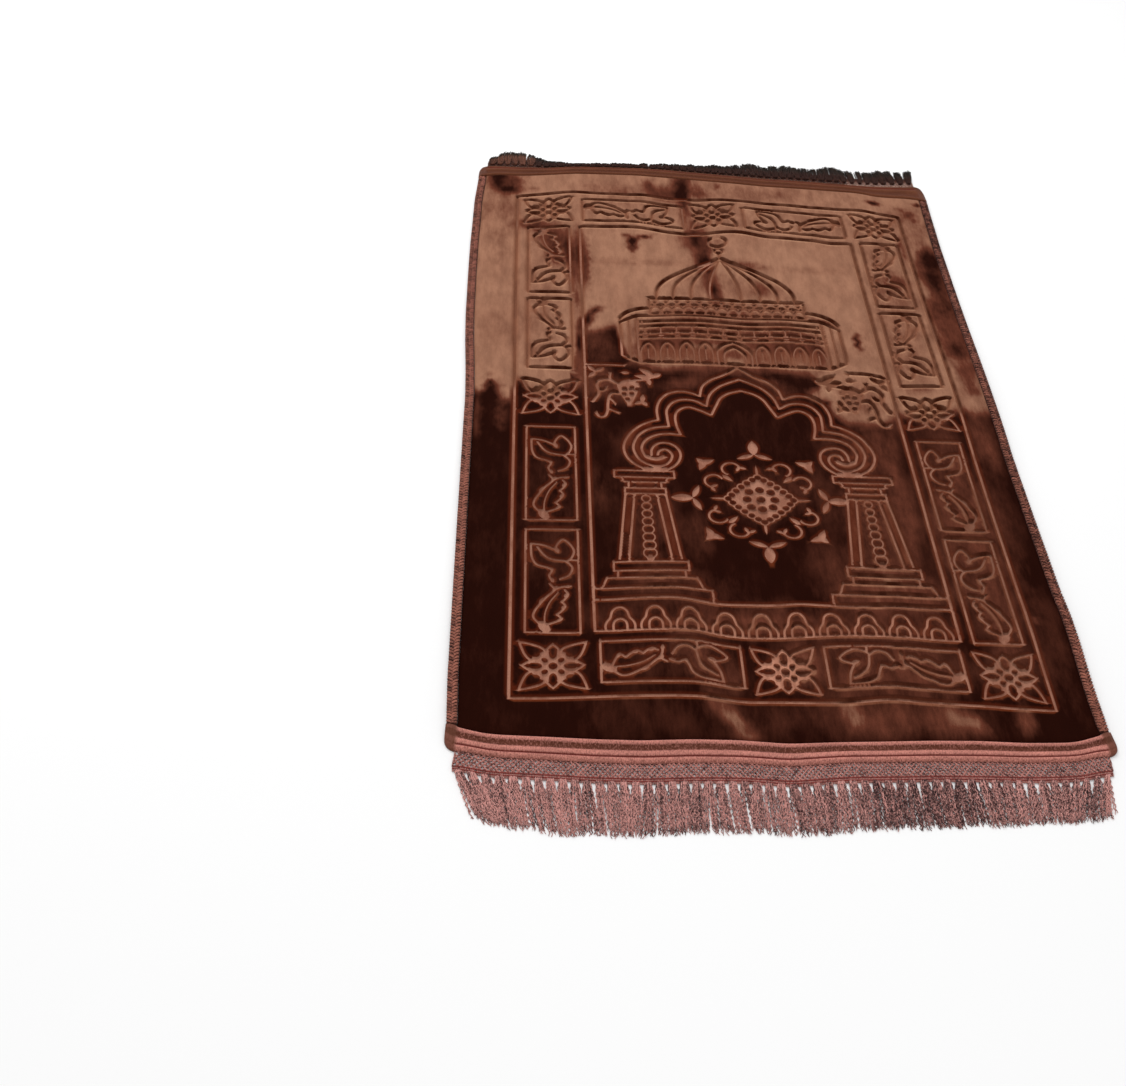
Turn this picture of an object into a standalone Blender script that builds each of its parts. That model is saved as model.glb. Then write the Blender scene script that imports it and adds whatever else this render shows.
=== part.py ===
"""A prayer rug of pressed velour, lying flat on the floor.

Metres, +Z up. The origin is on the floor under the middle of the whole rug, and +Y points to its dome end.
The pile cloth is one slab with the pattern pressed into its face. A braided binding runs along each long
edge, a ribbed tape along each end, and a netted heading with tassels hangs from each tape.
"""

import math
import random

import bmesh
import bpy
import numpy as np
from mathutils.geometry import delaunay_2d_cdt

MM = 0.001
CM = 0.01

# Driving sizes. "Far" is the dome end, at +Y.
WIDTH = 700 * MM  # over both bindings
PILE_LENGTH = 1112 * MM  # pile showing between the two tapes
PILE_HEIGHT = 6 * MM
GAP = 0.3 * MM  # left between neighbouring pieces
BINDING_WIDTH = 12 * MM
BINDING_HEIGHT = 8 * MM
TAPE_WIDTH = 22 * MM
TAPE_TURN = {"reach": 42 * MM, "rise": 9 * MM}  # how the tape turns in towards the binding at a corner
TAPE_CORNER = 14 * MM  # radius of the rug's outer corners
HEADING_WIDTH = 24 * MM  # net and cord line, from the tape to the tassels
HEADING_HEIGHT = 2 * MM
HEADING_LENGTH = 674 * MM
TASSELS = 55  # in each fringe
LOCKS_IN_TASSEL = 2
TASSEL_REACH = {"near": 61 * MM, "far": 28 * MM}  # combed out at the near end, crimped at the far one
PRESS_DEPTH = 2 * MM

EDGE_X = WIDTH / 2 - BINDING_WIDTH  # where the pile ends and the binding starts
EDGE_Y = PILE_LENGTH / 2  # where the pile ends and the tape starts
TAPE_EDGE_Y = EDGE_Y + TAPE_WIDTH
TASSEL_ROOT_Y = TAPE_EDGE_Y + HEADING_WIDTH
CENTRING = (TASSEL_REACH["near"] - TASSEL_REACH["far"]) / 2  # puts the origin under the middle of the whole

# Soft rises where the cloth isn't quite flat on the floor, each a smooth hump
RIPPLES = (
    {"x": -165 * MM, "y": 430 * MM, "across": 95 * MM, "along": 140 * MM, "height": 5.0 * MM},
    {"x": 70 * MM, "y": 425 * MM, "across": 90 * MM, "along": 145 * MM, "height": 5.5 * MM},
    {"x": 235 * MM, "y": 430 * MM, "across": 75 * MM, "along": 140 * MM, "height": 3.0 * MM},
    {"x": -45 * MM, "y": 160 * MM, "across": 80 * MM, "along": 120 * MM, "height": 4.0 * MM},
    {"x": 90 * MM, "y": 150 * MM, "across": 60 * MM, "along": 100 * MM, "height": 3.0 * MM},
    {"x": -150 * MM, "y": -440 * MM, "across": 100 * MM, "along": 130 * MM, "height": 5.0 * MM},
    {"x": 95 * MM, "y": -445 * MM, "across": 90 * MM, "along": 125 * MM, "height": 5.0 * MM},
    {"x": 300 * MM, "y": 40 * MM, "across": 80 * MM, "along": 180 * MM, "height": 4.0 * MM},
)
FLAT_MIDDLE = {"x0": -100 * MM, "x1": 100 * MM, "y0": -290 * MM, "y1": 20 * MM}  # lies flat on the floor


def hump(t):
    return (1 - t * t) ** 2 if abs(t) < 1 else 0.0


def ripple(x, y):
    """Height of the underside above the floor."""
    return sum(r["height"] * hump((x - r["x"]) / r["across"]) * hump((y - r["y"]) / r["along"]) for r in RIPPLES)


def tape_inner(x):
    """Distance from the rug's middle to the tape's inner edge: straight, then turned in at the corners."""
    start = WIDTH / 2 - TAPE_TURN["reach"]
    s = max(0.0, (abs(x) - start) / TAPE_TURN["reach"])
    return EDGE_Y - TAPE_TURN["rise"] * s * s


def tape_outer(x):
    past = max(0.0, abs(x) - (WIDTH / 2 - TAPE_CORNER))
    return TAPE_EDGE_Y - TAPE_CORNER + math.sqrt(max(0.0, TAPE_CORNER**2 - past**2))


# ---------------------------------------------------------------- the pressed pattern

LINE = 2.5 * MM  # half width of a main pressed line at the face of the pile
FINE = 2.0 * MM
TIP = 0.4 * MM
STEP = 70 * MM  # longest straight run between points, so that lines follow the ripples

FRAME_OUTER = (292 * MM, 504 * MM)
FRAME_INNER = (204 * MM, 407 * MM)
SIDE_PANEL_X = (219 * MM, 277 * MM)
SIDE_PANELS_Y = ((59 * MM, 225 * MM), (241 * MM, 409 * MM))
END_PANEL_X = (46 * MM, 199 * MM)
END_PANEL_Y = (423 * MM, 484 * MM)
END_ROSETTE_Y = 458 * MM


def stroke(points, half=LINE, halves=None):
    """A pressed line: its points, and its half width at each."""
    return {"points": list(points), "halves": list(halves) if halves else [half] * len(points)}


def straight(points, half=LINE):
    """A stroke through the points, with more added on long runs."""
    made = [points[0]]
    for a, b in zip(points, points[1:]):
        parts = max(1, math.ceil(math.dist(a, b) / STEP))
        made += [(a[0] + (b[0] - a[0]) * i / parts, a[1] + (b[1] - a[1]) * i / parts) for i in range(1, parts + 1)]
    return stroke(made, half)


def rectangle(x0, y0, x1, y1, half=LINE):
    return straight([(x0, y0), (x1, y0), (x1, y1), (x0, y1), (x0, y0)], half)


def polar(origin, degrees, r):
    a = math.radians(degrees)
    return (origin[0] + r * math.cos(a), origin[1] + r * math.sin(a))


def arc(centre, r, start, end, steps, half=FINE):
    return stroke([polar(centre, start + (end - start) * i / steps, r) for i in range(steps + 1)], half)


def bezier(p0, p1, p2, p3, steps, half=LINE):
    made = []
    for i in range(steps + 1):
        t = i / steps
        weights = ((1 - t) ** 3, 3 * t * (1 - t) ** 2, 3 * t * t * (1 - t), t**3)
        made.append(tuple(sum(w * p[k] for w, p in zip(weights, (p0, p1, p2, p3))) for k in (0, 1)))
    return stroke(made, half)


def leaf(base, degrees, length, width, steps=3, half=FINE):
    """The outline of a pointed leaf, from its base round its tip and back."""
    a = math.radians(degrees)
    made = []
    for i in range(2 * steps + 1):
        s = i / steps if i <= steps else 2 - i / steps
        side = 1 if i <= steps else -1
        across = side * width / 2 * math.sin(math.pi * s**0.9)
        made.append((base[0] + s * length * math.cos(a) - across * math.sin(a),
                     base[1] + s * length * math.sin(a) + across * math.cos(a)))
    return stroke(made, half)


def petal(base, degrees, length, width):
    """A petal pressed all over, rising to the face at both tips."""
    return stroke([polar(base, degrees, length * s) for s in (0, 0.5, 1)], halves=[TIP, width / 2 + TIP, TIP])


def placed(strokes, origin=(0, 0), turn=0, mirror=False):
    """Strokes in a motif's own frame, mirrored in x if asked, turned by degrees, then moved."""
    a = math.radians(turn)
    side = -1 if mirror else 1
    return [
        {
            "points": [(origin[0] + side * x * math.cos(a) - y * math.sin(a),
                        origin[1] + side * x * math.sin(a) + y * math.cos(a)) for x, y in s["points"]],
            "halves": s["halves"],
        }
        for s in strokes
    ]


def both_sides(strokes):
    return strokes + placed(strokes, mirror=True)


def rosette():
    made = [arc((0, 0), 11 * MM, 0, 360, 6, LINE)]
    for k in range(4):
        made.append(leaf(polar((0, 0), 90 * k + 45, 14 * MM), 90 * k + 45, 30 * MM, 20 * MM))
    return made


def sprig(length, width):
    """A toothless leaf at a panel's foot and a folded one at its head; the foot is at y = 0."""
    head = (3 * MM, 0.56 * length)
    return [
        leaf((-5 * MM, 9 * MM), 74, 0.44 * length, 0.42 * width),
        stroke([(9 * MM, 0.48 * length), head]),
        leaf(head, 128, 0.30 * length, 0.28 * width),
        leaf(head, 76, 0.34 * length, 0.32 * width),
    ]


def border():
    made = [rectangle(-x, -y, x, y) for x, y in (FRAME_OUTER, FRAME_INNER)]
    middle_x = sum(SIDE_PANEL_X) / 2
    middle_y = sum(END_PANEL_Y) / 2
    side_width = SIDE_PANEL_X[1] - SIDE_PANEL_X[0]
    end_height = END_PANEL_Y[1] - END_PANEL_Y[0]
    end_length = END_PANEL_X[1] - END_PANEL_X[0]
    for up in (1, -1):
        for low, high in SIDE_PANELS_Y:
            motif = placed(sprig(high - low, side_width), turn=180 if up > 0 else 0, mirror=up > 0)
            made += both_sides([rectangle(SIDE_PANEL_X[0], up * low, SIDE_PANEL_X[1], up * high, FINE)])
            made += both_sides(placed(motif, (middle_x, up * high), mirror=True))
        motif = placed(sprig(end_length, end_height), (END_PANEL_X[1], up * middle_y), turn=90, mirror=up > 0)
        made += both_sides([rectangle(END_PANEL_X[0], up * END_PANEL_Y[0], END_PANEL_X[1], up * END_PANEL_Y[1], FINE)])
        made += both_sides(motif)
        for x in (-middle_x, 0, middle_x):
            made += placed(rosette(), (x, up * END_ROSETTE_Y))
    for x in (-middle_x, middle_x):
        made += placed(rosette(), (x, 0))
    return made


BAND_TOP = -355 * MM
LOTUSES = {"count": 10, "pitch": 39.6 * MM, "first": -176 * MM}


def lotus_band():
    made = [straight([(-FRAME_INNER[0], BAND_TOP), (FRAME_INNER[0], BAND_TOP)])]
    lotus = stroke([(-15 * MM, 2 * MM), (-16 * MM, 19 * MM), (0, 36 * MM), (16 * MM, 19 * MM), (15 * MM, 2 * MM)], FINE)
    for k in range(LOTUSES["count"]):
        x = LOTUSES["first"] + k * LOTUSES["pitch"]
        made += placed([lotus], (x, -FRAME_INNER[1]))
    return made


COLUMN_X = 136 * MM
# the column's blocks, from the floor line up
COLUMN_BLOCKS = (
    {"foot": BAND_TOP, "head": BAND_TOP + 17 * MM, "half": 67.5 * MM},
    {"foot": BAND_TOP + 17 * MM, "head": BAND_TOP + 33 * MM, "half": 55 * MM},
    {"foot": BAND_TOP + 33 * MM, "head": BAND_TOP + 56 * MM, "half": 43 * MM},
    {"foot": -181 * MM, "head": -163 * MM, "half": 25 * MM},
    {"foot": -163 * MM, "head": -140 * MM, "half": 37 * MM},
)
SHAFT = {"foot": BAND_TOP + 56 * MM, "head": -181 * MM, "lines": ((38 * MM, 24 * MM), (26 * MM, 14 * MM))}


def column():
    made = [rectangle(-b["half"], b["foot"], b["half"], b["head"]) for b in COLUMN_BLOCKS]
    for foot, head in SHAFT["lines"]:
        made += both_sides([straight([(foot, SHAFT["foot"]), (head, SHAFT["head"])], FINE)])
    return made


SCROLL = (-123 * MM, -100 * MM)
# The left half of the arch's three lines, outer to inner, in millimetres: the crown from its point down to the
# cusp, the lobe from there to its notch, and the scroll as turns (degrees and distance) about its middle
ARCH_LINES = (
    {
        "crown": ((0, 73), (-21, 57), (-39, 46), (-50, 32), (-55, 11)),
        "lobe": ((-55, 11), (-67, 18), (-81, 20), (-97, 14), (-109, 0), (-115, -20), (-115, -38)),
        "scroll": ((112, 48), (150, 41), (200, 37), (250, 35), (300, 34), (345, 31), (395, 25), (430, 19), (465, 11)),
    },
    {
        "crown": ((0, 52), (-18, 41), (-31, 31), (-42, 14), (-48, -9)),
        "lobe": ((-48, -9), (-62, 1), (-79, 3), (-95, -4), (-103, -18), (-104, -48)),
        "scroll": ((90, 49), (118, 39), (155, 30), (200, 26), (250, 26), (300, 25), (340, 22), (370, 17), (400, 11)),
    },
    {
        "crown": ((0, 33), (-17, 24), (-28, 12), (-35, -6), (-43, -27)),
        "lobe": ((-43, -27), (-57, -18), (-72, -12), (-87, -19), (-93, -32), (-92, -50), (-88, -67)),
        "scroll": ((60, 42), (82, 34), (110, 25), (150, 17), (200, 13), (255, 12)),
    },
)


def arch_half():
    made = []
    for row in ARCH_LINES:
        made.append(stroke([(x * MM, y * MM) for x, y in row["crown"]]))
        lobe = [(x * MM, y * MM) for x, y in row["lobe"]]
        made.append(stroke(lobe + [polar(SCROLL, degrees, r * MM) for degrees, r in row["scroll"]]))
    return made


MEDALLION = (0, -186 * MM)


def medallion():
    diamond = 46 * MM
    made = [straight([polar((0, 0), 90 * k, diamond) for k in range(5)], LINE)]
    made.append(straight([polar((0, 0), 90 * k, diamond / 2) for k in range(5)], LINE))
    for k in range(4):
        root = polar((0, 0), 90 * k, 84 * MM if k % 2 else 70 * MM)
        bud = polar((0, 0), 90 * k + 45, 80 * MM)
        for side in (-1, 0, 1):
            made.append(petal(root, 90 * k + 118 * side, 28 * MM, 10 * MM))
            made.append(petal(bud, 90 * k + 45 + 34 * side, 20 * MM, 6 * MM))
            if side:
                hub = polar((0, 0), 90 * k + 45 + 19 * side, 60 * MM)
                made.append(arc(hub, 11.5 * MM, 90 * k + 45 + 200 * side, 90 * k + 45 - 60 * side, 3))
    return placed(made, MEDALLION)


def spandrel():
    return [
        bezier((104 * MM, 50 * MM), (158 * MM, 66 * MM), (184 * MM, 36 * MM), (166 * MM, 4 * MM), 5),
        bezier((166 * MM, 4 * MM), (156 * MM, -14 * MM), (186 * MM, -26 * MM), (182 * MM, -42 * MM), 3),
        leaf((140 * MM, -2 * MM), 90, 36 * MM, 40 * MM),
    ]


DOME = {"foot": 234 * MM, "half": 99 * MM, "apex": 340 * MM, "ribs": (1.0, 0.72, 0.40)}
FINIAL = {"ball": 358 * MM, "moon": 382 * MM}
DRUM = {"foot": 193 * MM, "rail": 214 * MM, "head": 229 * MM, "half": 110 * MM}
HALL = {"foot": 80 * MM, "head": 187 * MM, "half": 130 * MM, "lines": (136 * MM, 147 * MM, 162 * MM), "arches": 10}
WING = {"half": 153 * MM, "drop": 15 * MM}
DOOR = {"half": 23 * MM, "height": 50 * MM}


def pointed_arch(x, foot, half, height):
    return stroke([(x - half, foot), (x - half, foot + 0.6 * height), (x, foot + height),
                   (x + half, foot + 0.6 * height), (x + half, foot)], FINE)


def domed_hall():
    """A plain domed prayer hall seen from the front."""
    made = []
    for share in DOME["ribs"]:
        w = share * DOME["half"]
        made += both_sides([bezier((w, DOME["foot"]), (1.02 * w, DOME["foot"] + 52 * MM),
                                   (0.42 * w, DOME["apex"] - 34 * MM), (0, DOME["apex"]), 5)])
    made.append(arc((0, FINIAL["ball"]), 6 * MM, 0, 360, 5))
    made.append(arc((0, FINIAL["moon"]), 13 * MM, 125, 415, 6))
    w = DRUM["half"]
    made.append(rectangle(-w, DRUM["foot"], w, DRUM["head"]))
    made.append(straight([(-w, DRUM["rail"]), (w, DRUM["rail"])], FINE))
    w = HALL["half"]
    made.append(rectangle(-w, HALL["foot"], w, HALL["head"]))
    made += [straight([(-w, y), (w, y)], FINE) for y in HALL["lines"]]
    pitch = 2 * w / HALL["arches"]
    for k in range(HALL["arches"]):
        x = pitch * (k + 0.5) - w
        if abs(x) > DOOR["half"] + pitch / 2:
            made.append(pointed_arch(x, HALL["foot"], 0.3 * pitch, 44 * MM))
    made.append(pointed_arch(0, HALL["foot"], DOOR["half"], DOOR["height"]))
    made += both_sides([
        straight([(w, HALL["head"]), (WING["half"], HALL["head"] - WING["drop"]),
                  (WING["half"], HALL["foot"] + WING["drop"]), (w, HALL["foot"])]),
        straight([(WING["half"], 72 * MM), (FRAME_INNER[0], 72 * MM)]),
    ])
    return made


# How the cloth lies moves the pattern from its drawing, here in millimetres: sideways by where across the rug,
# and along the rug by rows, each from its left end to its right
ACROSS_SHIFT = ((-292, 4), (-204, 9), (0, 10), (204, 8.5), (292, 5))
ALONG_SHIFT = (
    {"y": -504, "by": ((-290, -2), (-260, -1), (-180, 2), (-120, 5), (-90, 6), (-50, -1), (0, 0), (60, -1), (110, 5),
                       (160, 3), (220, 0), (280, -6))},
    {"y": -407, "by": ((-290, -3), (-190, -4), (-160, -2), (-130, 1), (-110, 4), (-90, 3), (-60, -4), (-40, -7), (0, -6),
                       (40, -4), (80, -3), (120, -2), (150, -1), (190, -4), (290, -5))},
    {"y": -355, "by": ((-290, -7), (-190, -7), (-150, -2), (-120, 1), (-100, 0), (-75, -6), (-55, -9), (0, -8), (30, -5),
                       (80, -9), (140, -6), (210, -9), (290, -7))},
    {"y": -310, "by": ((-290, -8), (-190, -4), (-120, 1), (0, 0), (120, -3), (210, -6), (290, -8))},
    {"y": -232, "by": ((-290, -8), (-204, -6), (-170, 0), (0, 0), (170, 0), (204, -7), (290, -9))},
    {"y": -59, "by": ((-290, 0), (-204, 0), (0, 0), (180, -2), (210, -9), (290, -11))},
    {"y": 0, "by": ((-290, 3), (-204, 2), (0, 0), (180, -3), (210, -13), (290, -15))},
    {"y": 59, "by": ((-290, 3), (-204, 2), (0, 0), (180, -5), (210, -16), (290, -18))},
    {"y": 232, "by": ((-290, -5), (-204, -4), (0, 0), (180, -5), (210, -14), (290, -16))},
    {"y": 340, "by": ((-290, -5), (-204, -2), (0, -2), (110, -4), (210, -15), (290, -18))},
    {"y": 407, "by": ((-290, -6), (-200, -1), (-170, -3), (-140, 2), (-110, 4), (-90, 1), (-70, -5), (-40, -9), (10, -2),
                      (30, -2), (50, -8), (70, -15), (110, -14), (150, -13), (170, -21), (190, -22), (290, -22))},
    {"y": 504, "by": ((-290, -13), (-260, -6), (-240, -1), (-215, 3), (-170, -1), (-120, 1), (-105, 4), (-85, 0),
                      (-60, -6), (-20, -7), (10, -5), (40, -8), (60, -12), (80, -15), (140, -14), (170, -18), (200, -22),
                      (240, -24), (265, -31), (290, -36))},
)
KINK = 9  # mm over which a bend in those rows is eased


def between(table, at):
    """The table's value at a place along it, with its bends eased."""
    keys, values = zip(*table)
    return float(np.mean(np.interp([at - KINK, at - KINK / 2, at, at + KINK / 2, at + KINK], keys, values)))


def wandered(point):
    x, y = point[0] / MM, point[1] / MM
    lifts = [between(row["by"], x) for row in ALONG_SHIFT]
    lift = np.interp(y, [row["y"] for row in ALONG_SHIFT], lifts)
    return (point[0] + between(ACROSS_SHIFT, x) * MM, point[1] + float(lift) * MM)


def pressed_pattern():
    strokes = (border() + lotus_band() + both_sides(placed(column(), (COLUMN_X, 0))) + both_sides(arch_half())
               + medallion() + both_sides(spandrel()) + domed_hall())
    return [{"points": [wandered(p) for p in s["points"]], "halves": s["halves"]} for s in strokes]


# ---------------------------------------------------------------- making the meshes


def principled(name, colour, roughness, sheen=0.0):
    material = bpy.data.materials.new(name)
    material.use_nodes = True
    shader = material.node_tree.nodes["Principled BSDF"]
    shader.inputs["Base Color"].default_value = (*colour, 1)
    shader.inputs["Roughness"].default_value = roughness
    shader.inputs["Metallic"].default_value = 0
    shader.inputs["Sheen Weight"].default_value = sheen
    return material


def finished(name, bm, material, rug):
    """The mesh as one object of the rug, with its faces pointing out."""
    bmesh.ops.recalc_face_normals(bm, faces=bm.faces)
    mesh = bpy.data.meshes.new(name)
    bm.to_mesh(mesh)
    bm.free()
    mesh.materials.append(material)
    made = bpy.data.objects.new(name, mesh)
    made.parent = rug
    bpy.data.collections[rug.name].objects.link(made)
    return made


def lofted(sections):
    """A solid through a row of like rings of points, closed by a face at each end."""
    bm = bmesh.new()
    rings = [[bm.verts.new(p) for p in section] for section in sections]
    for a, b in zip(rings, rings[1:]):
        for k in range(len(a)):
            n = (k + 1) % len(a)
            bm.faces.new((a[k], a[n], b[n], b[k]))
    bm.faces.new(rings[0])
    bm.faces.new(rings[-1])
    return bm


def rims(s):
    """The edge of a pressed line: one loop round an open line and its ends, or two loops along a closed one."""
    pts = s["points"]
    closed = math.dist(pts[0], pts[-1]) < GAP
    loops = []
    for side in (1, -1):
        rim = []
        for i, (p, half) in enumerate(zip(pts, s["halves"])):
            before = pts[i - 1] if i else (pts[-2] if closed else None)
            after = pts[i + 1] if i < len(pts) - 1 else (pts[1] if closed else None)
            into = math.atan2(p[1] - before[1], p[0] - before[0]) if before else None
            out = math.atan2(after[1] - p[1], after[0] - p[0]) if after else into
            into = out if into is None else into
            bend = (out - into + math.pi) % (2 * math.pi) - math.pi
            reach = half / max(0.5, math.cos(bend / 2))
            square = into + bend / 2
            rim.append((p[0] - side * reach * math.sin(square), p[1] + side * reach * math.cos(square)))
        loops.append(rim)
    if closed:
        return loops
    caps = []
    for end, inner in ((-1, -2), (0, 1)):
        run = math.dist(pts[end], pts[inner])
        caps.append(tuple(pts[end][k] + (pts[end][k] - pts[inner][k]) * s["halves"][end] / run for k in (0, 1)))
    return [loops[0] + [caps[0]] + loops[1][::-1] + [caps[1], loops[0][0]]]


def press_depths(points, strokes):
    """How deep the face is pressed at each point: a V under each line, deepest on its middle."""
    ends = np.array([(*a, *b, ha, hb) for s in strokes for a, b, ha, hb in
                     zip(s["points"], s["points"][1:], s["halves"], s["halves"][1:])])
    start, run = ends[:, 0:2], ends[:, 2:4] - ends[:, 0:2]
    length = np.maximum((run**2).sum(axis=1), MM**4)
    depths = []
    for p in points:
        t = np.clip(((np.array(p) - start) * run).sum(axis=1) / length, 0, 1)
        away = np.hypot(*(start + run * t[:, None] - np.array(p)).T)
        half = ends[:, 4] + (ends[:, 5] - ends[:, 4]) * t
        deep = np.minimum(1, half / FINE) * (1 - away / half)
        depths.append(PRESS_DEPTH * max(0.0, float(deep.max())))
    return depths


def triangulated(outline, lines, snap):
    """Triangles inside the outline, with the lines among their edges."""
    points, edges = list(outline), []
    for line in lines:
        first = len(points)
        points += line
        edges += [(first + i, first + i + 1) for i in range(len(line) - 1)]
    found = delaunay_2d_cdt([tuple(p) for p in points], edges, [list(range(len(outline)))], 1, snap)
    return [tuple(p) for p in found[0]], found[2]


def pile_outline():
    """Round the pile cloth: straight sides, and ends that follow the tapes' inner edges."""
    side_x = EDGE_X - GAP
    runs = 24
    corner = [side_x - 1 * MM, side_x - 8 * MM, side_x - 16 * MM]
    across = [-x for x in corner] + [-0.30 + 0.60 * i / 14 for i in range(15)] + corner[::-1]
    end = [(x, tape_inner(x) - GAP) for x in across]
    side_y = end[-1][1] - 3 * MM
    side = [(side_x, side_y - 2 * side_y * i / runs) for i in range(runs + 1)]
    half = end + side
    return half + [(-x, -y) for x, y in half]


BED_X, BED_Y = 28 * MM, 58 * MM  # spacing of the underside's points
SHOULDER = {"in": 2.5 * MM, "drop": 1.5 * MM}  # where the pile rolls over at its cut edge


def make_pile_cloth(rug):
    outline = pile_outline()
    strokes = pressed_pattern()
    lines = [s["points"] for s in strokes] + [rim for s in strokes for rim in rims(s)]
    shrink = (1 - SHOULDER["in"] / EDGE_X, 1 - SHOULDER["in"] / EDGE_Y)
    shoulder = [(x * shrink[0], y * shrink[1]) for x, y in outline + outline[:1]]
    points, faces = triangulated(outline, lines + [shoulder], 0.6 * MM)
    bm = bmesh.new()
    top = [bm.verts.new((x, y, ripple(x, y) + PILE_HEIGHT - depth)) for (x, y), depth in
           zip(points, press_depths(points, strokes))]
    for face in faces:
        bm.faces.new([top[i] for i in face])
    for vert in bm.verts:
        if vert.is_boundary:
            vert.co.z -= SHOULDER["drop"]

    flat = FLAT_MIDDLE
    bed = [[(flat["x0"], flat["y0"]), (flat["x1"], flat["y0"]), (flat["x1"], flat["y1"]), (flat["x0"], flat["y1"]),
            (flat["x0"], flat["y0"])]]
    for i in range(-11, 12):
        for j in range(-9, 10):
            p = (i * BED_X, j * BED_Y)
            near_rise = any(ripple(p[0] + dx, p[1] + dy) for dx in (-BED_X, 0, BED_X) for dy in (-BED_Y, 0, BED_Y))
            in_flat = flat["x0"] <= p[0] <= flat["x1"] and flat["y0"] <= p[1] <= flat["y1"]
            if near_rise and not in_flat:
                bed.append([p])
    points, faces = triangulated(outline, bed, 0.1 * MM)
    under = [bm.verts.new((x, y, ripple(x, y))) for x, y in points]
    for face in faces:
        bm.faces.new([under[i] for i in reversed(face)])
    bmesh.ops.bridge_loops(bm, edges=[e for e in bm.edges if e.is_boundary])
    bmesh.ops.triangulate(bm, faces=bm.faces)
    return finished("pile_cloth", bm, principled("pile_cloth", (0.22, 0.07, 0.04), 0.85, 0.6), rug)


BINDING_RUNS = 30
# the braid's section, from its inner foot over the top to its outer foot, as shares of its width and height
BINDING_SECTION = ((0, 0), (0, 0.6), (0.2, 0.9), (0.5, 1), (0.8, 0.88), (1, 0.55), (0.94, 0))


def make_binding(side, rug):
    name = "binding_right" if side > 0 else "binding_left"
    inner = EDGE_X
    end_y = tape_inner(WIDTH / 2) - GAP
    sections = []
    for i in range(BINDING_RUNS + 1):
        y = end_y * (2 * i / BINDING_RUNS - 1)
        sections.append([(side * (inner + across * BINDING_WIDTH), y, ripple(side * inner, y) + up * BINDING_HEIGHT)
                         for across, up in BINDING_SECTION])
    return finished(name, lofted(sections), principled(name, (0.34, 0.13, 0.095), 0.75, 0.3), rug)


# the tape's section from its inner edge to its outer: a piping ridge, a valley and two more ridges
TAPE_SECTION = (
    {"across": 0.00, "up": 4.6 * MM},
    {"across": 0.10, "up": 7.0 * MM},
    {"across": 0.22, "up": 5.6 * MM},
    {"across": 0.31, "up": 4.2 * MM},
    {"across": 0.44, "up": 4.4 * MM},
    {"across": 0.54, "up": 6.2 * MM},
    {"across": 0.68, "up": 5.8 * MM},
    {"across": 0.73, "up": 4.8 * MM},
    {"across": 0.83, "up": 5.4 * MM},
    {"across": 1.00, "up": 2.6 * MM},
)
TAPE_RUNS = 12


def make_end_tape(end, rug):
    """The tape at one end: end is 1 at the far one and -1 at the near one."""
    name = "end_tape_far" if end > 0 else "end_tape_near"
    half = WIDTH / 2
    corner = [half, half - 1 * MM, half - 4 * MM, half - 8 * MM, half - 14 * MM, half - 28 * MM]
    middle = [-(half - 50 * MM) * (1 - 2 * i / TAPE_RUNS) for i in range(TAPE_RUNS + 1)]
    sections = []
    for x in [-c for c in corner] + middle + corner[::-1]:
        low, high = tape_inner(x), tape_outer(x)
        squeeze = 0.75 if abs(x) > half - 0.5 * MM else 1.0
        ring = [(x, end * low, ripple(x, end * low))]
        ring += [(x, end * (low + row["across"] * (high - low)), ripple(x, end * low) + squeeze * row["up"])
                 for row in TAPE_SECTION]
        sections.append(ring + [(x, end * high, 0.0)])
    return finished(name, lofted(sections), principled(name, (0.36, 0.13, 0.10), 0.7, 0.3), rug)


LOCK_WIDTH = {"root": 4.3 * MM, "tip": 5.0 * MM}
LOCK_SPREAD = {"root": 5.0 * MM, "tip": 5.9 * MM}  # between the two locks of a tassel
LOCK_SECTIONS = ({"along": 0.45, "height": 3.2 * MM}, {"along": 1.0, "height": 1.6 * MM})
LEAN_IN = 9 * MM  # how far the tassel at each end of a fringe leans towards the middle
SWAY = {"size": 2.2 * MM, "length": 210 * MM}


def lock_sway(x, along):
    """Sideways drift of a tassel at a share of its length: alike for neighbours, so that none cross."""
    wave = SWAY["size"] * math.sin(2 * math.pi * x / SWAY["length"] + 2.2 * along)
    return along * (wave - LEAN_IN * (x / (HEADING_LENGTH / 2)) ** 5)


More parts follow.
